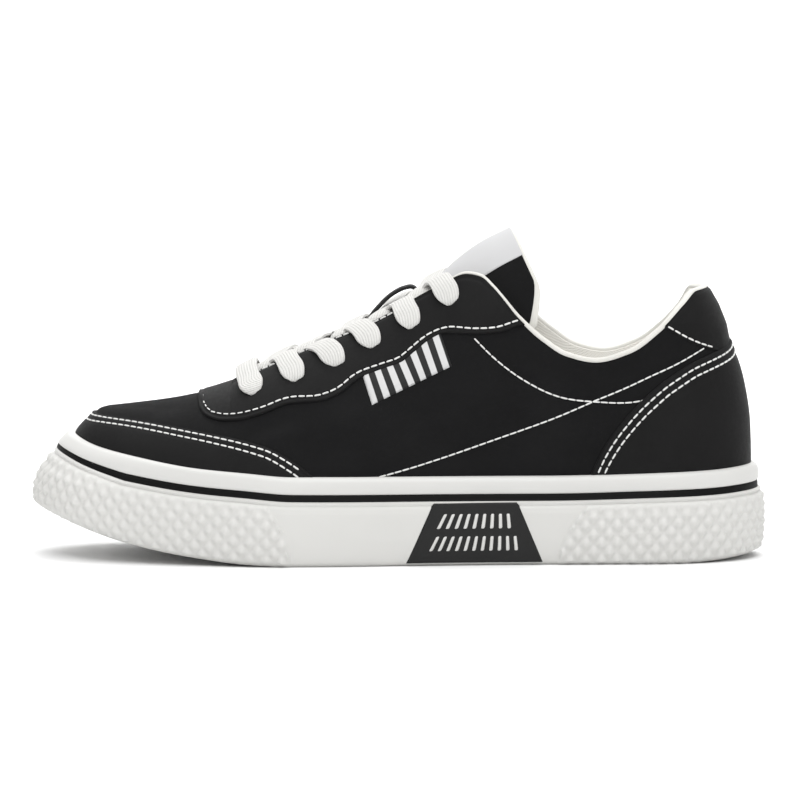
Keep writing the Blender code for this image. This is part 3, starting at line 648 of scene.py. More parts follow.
def place_piece(
    mesh: bpy.types.Mesh, name: str, finish: "Finish", slot: Slot, *nodes: str
) -> bpy.types.Object:
    """Links a mesh as a piece of the shoe.

    Args:
        mesh: The finished mesh, in metres.
        name: The piece's name.
        finish: Its finish.
        slot: The record's material slot; not used.
        nodes: Solids of the frame that it stands for.

    Returns:
        The object.
    """
    mesh.materials.clear()
    mesh.materials.append(finish.material())
    made = link_object(name, mesh)
    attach(made, BODY)
    if nodes:
        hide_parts(*nodes)
    LOG.info("%s: %d faces", name, len(mesh.polygons))
    return made


def sweep(
    skin: Skin, path: Array, sideways: Array, wide: Array, thick: Array, outline: Array, closed: bool = False
) -> None:
    """Adds a strip or tube along a path.

    Args:
        skin: The mesh to add to.
        path: Points along the middle.
        sideways: The direction of the strip's width at each point.
        wide: Width at each point.
        thick: Thickness at each point.
        outline: Cross-section for a width and thickness of 1.
        closed: Whether the path is a loop.
    """
    tangent = np.roll(path, -1, axis=0) - np.roll(path, 1, axis=0) if closed else np.gradient(path, axis=0)
    tangent = unit(tangent)
    across = unit(sideways - (sideways * tangent).sum(axis=1, keepdims=True) * tangent)
    up = unit(np.cross(tangent, across))
    rows = across[:, None] * (outline[:, 0] * np.asarray(wide)[:, None])[..., None]
    rows = rows + up[:, None] * (outline[:, 1] * np.asarray(thick)[:, None])[..., None]
    if closed:
        skin.add_grid(path[:, None] + rows, around=True, across=True)
    else:
        skin.add_closed(path[:, None] + rows)


def oval(count: int, power: float = 2.0) -> Array:
    """A closed outline of width and height 1, rounder with a low power.

    Args:
        count: How many points it has.
        power: 2 for an ellipse, more for a flatter strip.

    Returns:
        The points of the outline.
    """
    turn = np.linspace(0, 2 * np.pi, count, endpoint=False)
    around = np.stack([np.cos(turn), np.sin(turn)], axis=1)
    return 0.5 * np.sign(around) * np.abs(around) ** (2 / power)


class NodeTree:
    """A short way to place and join shader nodes."""

    def __init__(self, tree: bpy.types.NodeTree) -> None:
        """Works on one node tree."""
        self.tree = tree

    def add(self, kind: str, **values: object) -> bpy.types.Node:
        """Places a node and sets its properties or inputs.

        Args:
            kind: The node's type without the ShaderNode prefix.
            values: Properties by name, or inputs by in_ and their number.

        Returns:
            The node.
        """
        node = self.tree.nodes.new(kind if kind.startswith("Node") else f"ShaderNode{kind}")
        for key, value in values.items():
            if key.startswith("in_"):
                self.feed(node.inputs[int(key[3:])], value)
            else:
                setattr(node, key, value)
        return node

    def feed(self, socket: bpy.types.NodeSocket, value: object) -> None:
        """Links a socket to an input, or sets the input to a constant.

        Args:
            socket: The input.
            value: A socket or a constant.
        """
        if isinstance(value, bpy.types.NodeSocket):
            self.tree.links.new(value, socket)
        else:
            socket.default_value = value

    def math(self, operation: str, *values: object, clamp: bool = False) -> bpy.types.NodeSocket:
        """Places one sum of up to three values and gives its result.

        Args:
            operation: The kind of sum.
            values: Sockets or constants.
            clamp: Whether the result is kept between 0 and 1.

        Returns:
            The result's socket.
        """
        node = self.add("Math", operation=operation, use_clamp=clamp)
        for socket, value in zip(node.inputs, values):
            self.feed(socket, value)
        return node.outputs[0]

    def mix(self, share: object, first: object, second: object) -> bpy.types.NodeSocket:
        """Mixes two colours.

        Args:
            share: The second colour's share.
            first: One colour.
            second: The other.

        Returns:
            The mixed colour's socket.
        """
        node = self.add("Mix", data_type="RGBA")
        for number, value in ((0, share), (6, first), (7, second)):
            self.feed(node.inputs[number], value)
        return node.outputs[2]

    def span(self, value: object, low: float, high: float) -> bpy.types.NodeSocket:
        """Stretches a value from 0..1 to low..high."""
        return self.add("MapRange", in_0=value, in_3=low, in_4=high).outputs[0]

    def weave_place(self) -> bpy.types.NodeOutputs:
        """Gives the place on the weave map, in millimetres."""
        return self.add("SeparateXYZ", in_0=self.add("UVMap", uv_map=WEAVE_MAP).outputs[0]).outputs


def node_group(
    name: str, inputs: dict[str, float], outputs: list[str]
) -> tuple[NodeTree, bpy.types.NodeOutputs, bpy.types.NodeInputs]:
    """Starts a shader node group with value sockets.

    Args:
        name: The group's name.
        inputs: Input names with their defaults.
        outputs: Output names.

    Returns:
        A helper to fill the group, the group's own inputs, and its outputs to feed.
    """
    group = bpy.data.node_groups.new(name, "ShaderNodeTree")
    for label, default in inputs.items():
        socket = group.interface.new_socket(name=label, in_out="INPUT", socket_type="NodeSocketFloat")
        socket.default_value = default
    for label in outputs:
        group.interface.new_socket(name=label, in_out="OUTPUT", socket_type="NodeSocketFloat")
    tree = NodeTree(group)
    return tree, tree.add("NodeGroupInput").outputs, tree.add("NodeGroupOutput").inputs


def weave_group() -> bpy.types.NodeTree:
    """Builds the woven-cloth effect: threads over and under at a pitch in millimetres.

    Returns:
        The node group.
    """
    tree, source, target = node_group("ClothWeave", {"Pitch": 0.8, "Slant": 0.0}, ["Height", "Thread"])
    place = tree.weave_place()
    turn = tree.math("DIVIDE", 2 * math.pi, source["Pitch"])
    leaned = tree.math("ADD", place[0], tree.math("MULTIPLY", place[1], source["Slant"]))
    warp = tree.math("SINE", tree.math("MULTIPLY", leaned, turn))
    weft = tree.math("SINE", tree.math("MULTIPLY", place[1], turn))
    cross = tree.math("MULTIPLY", warp, weft)
    slub = tree.add("TexNoise", in_2=900.0, in_3=2.0)
    tree.feed(slub.inputs[0], tree.add("TexCoord").outputs["Object"])
    height = tree.math("ADD", tree.math("MULTIPLY", cross, 0.4), slub.outputs[0])
    tree.feed(target["Height"], height)
    tree.feed(target["Thread"], tree.math("MULTIPLY_ADD", cross, 0.5, 0.5))
    return tree.tree


def mottle_group() -> bpy.types.NodeTree:
    """Builds uneven tone: broad patches and fine grain, from the place on the shoe.

    Returns:
        The node group.
    """
    tree, source, target = node_group("UnevenTone", {"Broad": 30.0, "Fine": 600.0}, ["Patches", "Grain"])
    place = tree.add("TexCoord").outputs["Object"]
    for label, size, detail in (("Patches", "Broad", 3.0), ("Grain", "Fine", 5.0)):
        noise = tree.add("TexNoise", in_3=detail)
        tree.feed(noise.inputs[0], place)
        tree.feed(noise.inputs[2], source[size])
        tree.feed(target[label], noise.outputs[0])
    return tree.tree


def rib_group() -> bpy.types.NodeTree:
    """Builds a braid: ribs across the weave map with a slanted pick along each rib, and a painted-shade mask
    that is 0 in the grooves between ribs.

    Returns:
        The node group.
    """
    tree, source, target = node_group("Braid", {"Rib": 1.2, "Pick": 1.5}, ["Height", "GrooveShade"])
    place = tree.weave_place()
    across = tree.math("MULTIPLY", place[1], tree.math("DIVIDE", math.pi, source["Rib"]))
    rib = tree.math("ABSOLUTE", tree.math("SINE", across))
    along = tree.math("MULTIPLY", place[0], tree.math("DIVIDE", 2 * math.pi, source["Pick"]))
    pick = tree.math("SINE", tree.math("ADD", along, tree.math("MULTIPLY", rib, 2.4)))
    tree.feed(target["Height"], tree.math("ADD", tree.math("MULTIPLY", pick, 0.16), rib))
    # Painted shade: the grooves between ribs get 0 and so take the darker tone.
    tree.feed(target["GrooveShade"], tree.math("POWER", rib, 0.5))
    return tree.tree


def mesh_group() -> bpy.types.NodeTree:
    """Builds an open knit: rows of small holes, each row set off from the next.

    Returns:
        The node group.
    """
    tree, source, target = node_group("OpenKnit", {"Pitch": 1.7}, ["Height"])
    place = tree.weave_place()
    turn = tree.math("DIVIDE", 2 * math.pi, source["Pitch"])
    first = tree.math("COSINE", tree.math("MULTIPLY", tree.math("ADD", place[0], place[1]), turn))
    second = tree.math("COSINE", tree.math("MULTIPLY", tree.math("SUBTRACT", place[0], place[1]), turn))
    dots = tree.math("MULTIPLY_ADD", tree.math("ADD", first, second), 0.25, 0.5)
    hole = tree.math("POWER", dots, 3.0)
    tree.feed(target["Height"], tree.math("SUBTRACT", 1.0, hole))
    return tree.tree


GROUPS: dict[str, bpy.types.NodeTree] = {}
MATERIALS: dict[str, bpy.types.Material] = {}


def shared_group(name: str) -> bpy.types.NodeTree:
    """Gives a shared effect, built once.

    Args:
        name: The effect's name.

    Returns:
        Its node group.
    """
    makers = {
        "ClothWeave": weave_group,
        "UnevenTone": mottle_group,
        "Braid": rib_group,
        "OpenKnit": mesh_group,
    }
    if name not in GROUPS:
        GROUPS[name] = makers[name]()
    return GROUPS[name]


@dataclass(frozen=True)
class Finish:
    """A surface finish: two tones, how rough it is, and how deep its relief is."""

    name: str
    tone: Triple
    shade: Triple
    rough: Pair = (0.6, 0.8)
    depth: float = 0.1
    sheen: float = 0.0
    specular: float = 0.4
    coat: float = 0.0
    broad: float = 30.0
    fine: float = 600.0

    def material(self) -> bpy.types.Material:
        """Gives the finish's material, made once.

        Returns:
            The material.
        """
        if self.name not in MATERIALS:
            made = bpy.data.materials.new(self.name)
            made.use_nodes = True
            shader = made.node_tree.nodes["Principled BSDF"]
            tree = NodeTree(made.node_tree)
            shader.inputs["Sheen Weight"].default_value = self.sheen
            shader.inputs["Sheen Roughness"].default_value = 0.5
            shader.inputs["Specular IOR Level"].default_value = self.specular
            shader.inputs["Coat Weight"].default_value = self.coat
            shader.inputs["Coat Roughness"].default_value = 0.35
            self.dress(tree, shader)
            made.diffuse_color = (*self.tone, 1.0)
            MATERIALS[self.name] = made
        return MATERIALS[self.name]

    def effect(self, tree: NodeTree, name: str, **inputs: float) -> bpy.types.NodeOutputs:
        """Places a shared effect with this finish's own values.

        Args:
            tree: The material's nodes.
            name: The effect's name.
            inputs: Values by input name.

        Returns:
            The effect's outputs.
        """
        node = tree.add("Group", node_tree=shared_group(name))
        for label, value in inputs.items():
            node.inputs[label].default_value = value
        return node.outputs

    def tones(self, tree: NodeTree, shader: bpy.types.Node, share: object, rough: object) -> None:
        """Feeds the two tones and the roughness range to the shader."""
        tree.feed(shader.inputs["Base Color"], tree.mix(share, (*self.shade, 1.0), (*self.tone, 1.0)))
        tree.feed(shader.inputs["Roughness"], tree.span(rough, *self.rough))

    def relief(self, tree: NodeTree, shader: bpy.types.Node, height: object) -> None:
        """Feeds a relief in millimetres to the shader's normal.

        Args:
            tree: The material's nodes.
            shader: Its shader.
            height: The relief from 0 to 1.
        """
        made = tree.add("Bump")
        made.inputs["Strength"].default_value = 1.0
        made.inputs["Distance"].default_value = self.depth * MM
        tree.feed(made.inputs["Height"], height)
        tree.feed(shader.inputs["Normal"], made.outputs[0])

    def dress(self, tree: NodeTree, shader: bpy.types.Node) -> None:
        """Fills the material: moulded rubber with fine grain and faint patches.

        Args:
            tree: The material's nodes.
            shader: Its shader.
        """
        tone = self.effect(tree, "UnevenTone", Broad=self.broad, Fine=self.fine)
        self.tones(tree, shader, tree.span(tone["Patches"], 0.0, 1.0), tone["Grain"])
        self.relief(tree, shader, tone["Grain"])


@dataclass(frozen=True)
class ClothFinish(Finish):
    """A woven cloth with visible threads."""

    pitch: float = 0.8
    slant: float = 0.0

    def dress(self, tree: NodeTree, shader: bpy.types.Node) -> None:
        """Fills the material: threads, slubs and broad random patches of lighter and darker tone.

        Args:
            tree: The material's nodes.
            shader: Its shader.
        """
        tone = self.effect(tree, "UnevenTone", Broad=self.broad, Fine=self.fine)
        weave = self.effect(tree, "ClothWeave", Pitch=self.pitch, Slant=self.slant)
        patch_share = tree.math("MULTIPLY", tree.span(tone["Patches"], -0.9, 1.9), 0.65)
        share = tree.math("MULTIPLY_ADD", weave["Thread"], 0.35, patch_share)
        self.tones(tree, shader, share, tone["Grain"])
        self.relief(tree, shader, weave["Height"])


@dataclass(frozen=True)
class BraidFinish(Finish):
    """A flat woven lace or thread with ribs along it."""

    rib: float = 1.2
    pick: float = 1.5

    def dress(self, tree: NodeTree, shader: bpy.types.Node) -> None:
        """Fills the material: ribs, with painted shade darkening the grooves between them.

        Args:
            tree: The material's nodes.
            shader: Its shader.
        """
        tone = self.effect(tree, "UnevenTone", Broad=self.broad, Fine=self.fine)
        braid = self.effect(tree, "Braid", Rib=self.rib, Pick=self.pick)
        # The darker tone in the grooves between ribs is painted shade.
        self.tones(tree, shader, braid["GrooveShade"], tone["Grain"])
        self.relief(tree, shader, braid["Height"])


@dataclass(frozen=True)
class KnitFinish(Finish):
    """An open spacer knit for the lining."""

    pitch: float = 1.7

    def dress(self, tree: NodeTree, shader: bpy.types.Node) -> None:
        """Fills the material: small holes painted darker, as painted shade in the hollows of the knit.

        Args:
            tree: The material's nodes.
            shader: Its shader.
        """
        tone = self.effect(tree, "UnevenTone", Broad=self.broad, Fine=self.fine)
        knit = self.effect(tree, "OpenKnit", Pitch=self.pitch)
        # The holes take the darker tone: painted shade in the knit's hollows.
        self.tones(tree, shader, knit["Height"], tone["Grain"])
        self.relief(tree, shader, knit["Height"])


@dataclass(frozen=True)
class StripeFinish(Finish):
    """A woven ribbon with even crosswise stripes in its two tones."""

    stripe: float = 3.4
    pitch: float = 0.5

    def dress(self, tree: NodeTree, shader: bpy.types.Node) -> None:
        """Fills the material: crisp stripes along the weave map.

        Args:
            tree: The material's nodes.
            shader: Its shader.
        """
        tone = self.effect(tree, "UnevenTone", Broad=self.broad, Fine=self.fine)
        weave = self.effect(tree, "ClothWeave", Pitch=self.pitch, Slant=0.0)
        place = tree.weave_place()
        wave = tree.math("SINE", tree.math("MULTIPLY", place[0], 2 * math.pi / self.stripe))
        edge = tree.math("MULTIPLY_ADD", wave, 6.0, 0.5, clamp=True)
        self.tones(tree, shader, edge, tone["Grain"])
        self.relief(tree, shader, weave["Height"])


CANVAS = ClothFinish(
    "black_canvas_cloth", tone=(0.0088, 0.0088, 0.0092), shade=(0.0052, 0.0052, 0.0055),
    rough=(0.78, 0.94), depth=0.05, sheen=0.015, specular=0.12, pitch=0.7,
)
OVERLAY = ClothFinish(
    "black_panel_cloth", tone=(0.0086, 0.0085, 0.0086), shade=(0.0054, 0.0053, 0.0055),
    rough=(0.56, 0.74), depth=0.03, sheen=0.012, specular=0.13, pitch=0.5,
)
WHITE_RUBBER = Finish(
    "white_sole_rubber", tone=(0.615, 0.612, 0.592), shade=(0.58, 0.577, 0.558),
    rough=(0.42, 0.58), depth=0.02, sheen=0.0, specular=0.4,
)
FOXING_RUBBER = Finish(
    "white_tape_rubber", tone=(0.625, 0.622, 0.605), shade=(0.595, 0.592, 0.576),
    rough=(0.38, 0.52), depth=0.02, sheen=0.0, specular=0.42,
)
# Black rubber of the line with painted shade: its tone is about half the inlay's black, and the extra
# darkness stands for the shade in the line's recess.
LINE_RUBBER_PAINTED_SHADE = Finish(
    "black_band_rubber_painted_shade", tone=(0.0046, 0.0046, 0.0046), shade=(0.0032, 0.0032, 0.0032),
    rough=(0.5, 0.65), depth=0.02, sheen=0.0, specular=0.12,
)
BLACK_RUBBER = Finish(
    "black_line_rubber", tone=(0.0095, 0.0095, 0.0095), shade=(0.0065, 0.0065, 0.0065),
    rough=(0.38, 0.55), depth=0.03, sheen=0.0, specular=0.3,
)
LACE_COTTON = BraidFinish(
    "white_lace_cotton", tone=(0.655, 0.65, 0.63), shade=(0.53, 0.525, 0.505),
    rough=(0.8, 0.95), depth=0.18, sheen=0.1, specular=0.2, rib=1.15, pick=1.4,
)
THREAD = BraidFinish(
    "white_seam_thread", tone=(0.80, 0.80, 0.785), shade=(0.66, 0.66, 0.64),
    rough=(0.6, 0.8), depth=0.06, sheen=0.1, specular=0.3, rib=0.5, pick=0.7,
)
LINING = KnitFinish(
    "cream_lining_knit", tone=(0.90, 0.885, 0.84), shade=(0.76, 0.735, 0.68),
    rough=(0.8, 0.95), depth=0.2, sheen=0.15, specular=0.2, pitch=1.1,
)
BINDING = ClothFinish(
    "cream_edge_tape", tone=(0.74, 0.73, 0.695), shade=(0.64, 0.63, 0.59),
    rough=(0.75, 0.9), depth=0.05, sheen=0.1, specular=0.25, pitch=0.55,
)
INSOLE_CLOTH = ClothFinish(
    "cream_sock_cloth", tone=(0.66, 0.64, 0.585), shade=(0.56, 0.54, 0.49),
    rough=(0.8, 0.95), depth=0.08, sheen=0.08, specular=0.2, pitch=0.9,
)
LABEL_CLOTH = ClothFinish(
    "white_label_satin", tone=(0.55, 0.55, 0.555), shade=(0.50, 0.50, 0.505),
    rough=(0.5, 0.65), depth=0.02, sheen=0.05, specular=0.3, pitch=0.4,
)
STRIPE_CLOTH = StripeFinish(
    "striped_ribbon", tone=(0.58, 0.58, 0.58), shade=(0.0105, 0.0105, 0.011),
    rough=(0.55, 0.75), depth=0.02, sheen=0.05, specular=0.3, stripe=5.3,
)
WEBBING = BraidFinish(
    "black_webbing", tone=(0.012, 0.012, 0.0125), shade=(0.006, 0.006, 0.006),
    rough=(0.6, 0.8), depth=0.12, sheen=0.03, specular=0.3, rib=0.9, pick=1.1,
)


class Edge(Enum):
    """The edges of a panel, by its rows and columns."""

    LOW = "low"
    HIGH = "high"
    FIRST = "first"
    LAST = "last"


@dataclass(frozen=True)
class Crease:
    """A soft fold of the cloth along a line that is seen from the side."""

    start: Pair
    end: Pair
    reach: float
    depth: float

    def relief(self, points: Array) -> Array:
        """The fold's lift at points of the upper.

        Args:
            points: Points of the upper.

        Returns:
            Millimetres, one for each point.
        """
        start, along = np.array(self.start), np.subtract(self.end, self.start)
        place = points[..., [0, 2]] - start
        share = np.clip(place @ along / (along @ along), 0, 1)
        miss = np.linalg.norm(place - share[..., None] * along, axis=-1)
        return self.depth * np.exp(-((miss / self.reach) ** 2)) * np.sin(np.pi * share)


@dataclass
class Stitching:
    """Rows of lock stitches as short rounded threads."""

    length: float = 2.8
    gap: float = 0.4
    wide: float = 0.74
    rise: float = 0.36
    corners: int = 6
    steps: int = 60
    skin: Skin = field(default_factory=Skin)

    def sew(self, path: Array, out: Array) -> None:
        """Lays one row of stitches.

        Args:
            path: Points along the seam, on the cloth.
            out: The cloth's outward direction at each point.
        """
        reach = arc_lengths(path)
        count = int(reach[-1] // (self.length + self.gap))
        if count < 1:
            return
        start = (reach[-1] - count * (self.length + self.gap) + self.gap) / 2
        first = start + np.arange(count) * (self.length + self.gap)
        share = np.array([0.0, 0.06, 0.22, 0.78, 0.94, 1.0])
        half = np.array([0.0, 0.8, 1.0, 1.0, 0.8, 0.0]) * self.wide / 2
        arch = np.array([-1.0, 0.35, 0.95, 0.95, 0.35, -1.0]) * self.rise * 0.5
        turn = np.linspace(0, 2 * np.pi, self.corners, endpoint=False)
        for begin in first:
            at = begin + share * self.length
            middle = np.stack([np.interp(at, reach, path[:, axis]) for axis in range(3)], axis=1)
            up = unit(np.stack([np.interp(at, reach, out[:, axis]) for axis in range(3)], axis=1))
            across = unit(np.cross(up, np.gradient(middle, axis=0)))
            middle = middle + up * arch[:, None]
            ring = across[:, None] * (np.cos(turn) * half[:, None])[..., None]
            ring = ring + up[:, None] * (np.sin(turn) * half[:, None])[..., None]
            self.skin.add_grid(middle[:, None] + ring, across=True)

    def sew_on_last(self, angle: Array, height: Array, lift: Array | float) -> None:
        """Lays a row along angles and heights of the upper, at a lift."""
        path = LAST.offset(angle, height, lift)
        self.sew(path, LAST.normal(angle, height))

    def sew_seen(self, line: Array, lift: Array | float, side: Side) -> None:
        """Lays a row along a line that is seen from one side, as x and z.

        Args:
            line: Points of the row.
            lift: Millimetres off the upper.
            side: The side.
        """
        path = even_path(line, self.steps)
        angle = LAST.seen_angle(path[:, 0], path[:, 1], side)
        self.sew_on_last(angle, LAST.height_at(angle, path[:, 1]), lift)

    def build(self, name: str) -> bpy.types.Object:
        """Makes the stitches one piece."""
        return self.skin.build(name, THREAD, Slot.LACE, weld=TINY_EDGE)


@dataclass
class Panel:
    """A cloth panel sewn on the upper, with rounded edges and sunk seams."""

    name: str
    angles: Array
    low: Array
    high: Array
    free: tuple[Edge, ...]
    grooves: tuple[float, ...] = ()
    thick: float = 1.15
    under: float = -0.35
    edge_round: float = 0.9
    near: tuple[float, ...] = (0.0, 0.07, 0.22, 0.5, 0.9, 1.4, 1.9, 2.4, 3.0, 3.6, 4.4, 5.4)
    middle_rows: int = 12
    edge_least: float = 0.12
    groove_deep: float = 0.32
    groove_reach: float = 0.55
    thread_sink: float = 0.05
    samples: int = 121
    least_lean: float = 0.3
    edge_share: float = 2.4
    puff_span: Pair = (2.0, 9.0)

    def heights(self) -> tuple[Array, Array, Array]:
        """Lays the panel's rows by their distance from its edges.

        Returns:
            Heights, the distance from the low edge and the distance from the high edge, columns by rows.
        """
        fine = np.linspace(0, 1, self.samples)
        spread = self.low[:, None] + (self.high - self.low)[:, None] * fine
        points = LAST.point(self.angles[:, None], spread)
        steps = np.diff(points, axis=1)
        reach = np.cumsum(np.linalg.norm(steps, axis=2), axis=1)
        reach = np.concatenate([np.zeros((len(spread), 1)), reach], axis=1)
        total = reach[:, -1:]
        lean = []
        for edge, way in ((points[:, 0], steps[:, 2]), (points[:, -1], steps[:, -3])):
            square = np.cross(unit(np.gradient(edge, axis=0)), unit(way))
            lean.append(np.clip(np.linalg.norm(square, axis=1, keepdims=True), self.least_lean, 1.0))
        rows = np.array(self.near)
        most = total * rows / (self.edge_share * rows[-1])
        near = [np.minimum(rows / slope, most) for slope in lean]
        share = np.linspace(0, 1, self.middle_rows + 2)[1:-1]
        middle = near[0][:, -1:] + (total - near[1][:, -1:] - near[0][:, -1:]) * share
        at = np.concatenate([near[0], middle, (total - near[1])[:, ::-1]], axis=1)
        heights = np.stack([np.interp(a, r, h) for a, r, h in zip(at, reach, spread)])
        return heights, at * lean[0], (total - at) * lean[1]

    def edge_distance(self, heights: Array, from_low: Array, from_high: Array) -> Array:
        """The distance to the nearest free edge.

        Args:
            heights: Heights, columns by rows.
            from_low: Distance from the low edge.
            from_high: Distance from the high edge.

        Returns:
            Millimetres, columns by rows.
        """
        points = LAST.point(self.angles[:, None], heights)
        steps = np.linalg.norm(np.diff(points, axis=0), axis=2)
        first = np.concatenate([np.zeros((1, steps.shape[1])), np.cumsum(steps, axis=0)])
        ways = {Edge.LOW: from_low, Edge.HIGH: from_high, Edge.FIRST: first, Edge.LAST: first[-1] - first}
        return np.min([ways[edge] for edge in self.free], axis=0)

    def lift(self, distance: Array) -> Array:
        """The panel's thickness at a distance from its nearest free edge.

        Args:
            distance: Millimetres from the edge.

        Returns:
            Millimetres off the upper.
        """
        near = np.clip(distance / self.edge_round, 0, 1)
        lift = self.thick * (self.edge_least + (1 - self.edge_least) * np.sqrt(1 - (1 - near) ** 2))
        for place in self.grooves:
            lift = lift - self.groove_deep * bump(distance, place, self.groove_reach)
        return lift

    def build(self, node: str, puff: float = 0.0) -> bpy.types.Object:
        """Makes the panel and ties it to the solid that it stands for.

        Args:
            node: The solid's name.
            puff: How far padding lifts the panel's middle.

        Returns:
            The object.
        """
        heights, low, high = self.heights()
        distance = self.edge_distance(heights, low, high)
        lift = self.lift(distance) + puff * ramp(*self.puff_span, distance)
        top = LAST.offset(self.angles[:, None], heights, lift)
        back = LAST.offset(self.angles[:, None], heights[:, ::-3], self.under)
        skin = Skin()
        skin.add_closed(np.concatenate([top, back], axis=1))
        return skin.build(self.name, OVERLAY, Slot.OVERLAY, node)

    def row(self, distance: float, edge: Edge, trim: float = 2.0) -> tuple[Array, Array, float]:
        """A line at a distance from the low or high edge.

        Args:
            distance: Millimetres from the edge.
            edge: The low or the high edge.
            trim: Millimetres to leave free at both ends.

        Returns:
            Angles, heights and the lift of the line.
        """
        heights, low, high = self.heights()
        away = low if edge is Edge.LOW else high
        order = 1 if edge is Edge.LOW else -1
        line = np.array([np.interp(distance, a[::order], h[::order]) for a, h in zip(away, heights)])
        reach = arc_lengths(LAST.point(self.angles, line))
        inside = (reach > trim) & (reach < reach[-1] - trim)
        return self.angles[inside], line[inside], float(self.lift(np.array(distance))) - self.thread_sink


def finished_mesh(made: bpy.types.Object) -> bpy.types.Mesh:
    """A copy of an object's mesh with its modifiers carried out."""
    graph = bpy.context.evaluated_depsgraph_get()
    return bpy.data.meshes.new_from_object(made.evaluated_get(graph))


@dataclass
class LaceHoles:
    """The twelve punched lace holes."""

    radius: float = 2.3
    depth: float = 12.0
    segments: int = 28

    @staticmethod
    def place(index: int, side: Side, lift: float) -> tuple[Array, Array]:
        """A hole's place at a lift off the upper, and the direction out of it.

        Args:
            index: The hole's number.
            side: Its side.
            lift: Millimetres off the upper.

        Returns:
            The place and the unit vector.
        """
        x, z = EYELETS["x"][index], EYELETS["height"][index]
        angle = LAST.seen_angle(x, z, side)
        height = LAST.height_at(angle, z)
        return LAST.offset(angle, height, lift), LAST.normal(angle, height)

    def cutter(self) -> bpy.types.Object:
        """Makes one object of pins that stand through the holes.

        Returns:
            The pins.
        """
        skin = Skin()
        turn = np.linspace(0, 2 * np.pi, self.segments, endpoint=False)
        for index in range(len(EYELETS["x"])):
            for side in Side:
                place, out = self.place(index, side, 0.0)
                first = unit(np.cross(out, [1.0, 0.0, 0.2]))
                second = np.cross(out, first)
                ring = self.radius * (np.cos(turn)[:, None] * first + np.sin(turn)[:, None] * second)
                ends = [place + ring + out * self.depth * end for end in (-0.5, 0.5)]
                skin.add_closed(np.stack(ends, axis=0))
        mesh = bpy.data.meshes.new("hole_pins")
        mesh.from_pydata(((np.concatenate(skin.points) - MIDDLE) * MM).tolist(), [], skin.faces)
        bm = bmesh.new()
        bm.from_mesh(mesh)
        bmesh.ops.recalc_face_normals(bm, faces=bm.faces)
        bm.to_mesh(mesh)
        bm.free()
        return link_object("hole_pins", mesh)

    def punch(self, pieces: list[bpy.types.Object]) -> None:
        """Cuts the holes through pieces and removes the pins.

        Args:
            pieces: The objects to cut.
        """
        pins = self.cutter()
        for piece in pieces:
            hole = piece.modifiers.new("holes", "BOOLEAN")
            hole.operation, hole.solver, hole.object = "DIFFERENCE", "EXACT", pins
            mesh = finished_mesh(piece)
            piece.modifiers.clear()
            mesh.name = piece.name
            piece.data = mesh
            mesh.set_sharp_from_angle(angle=SHARP_ANGLE)
        bpy.data.objects.remove(pins)


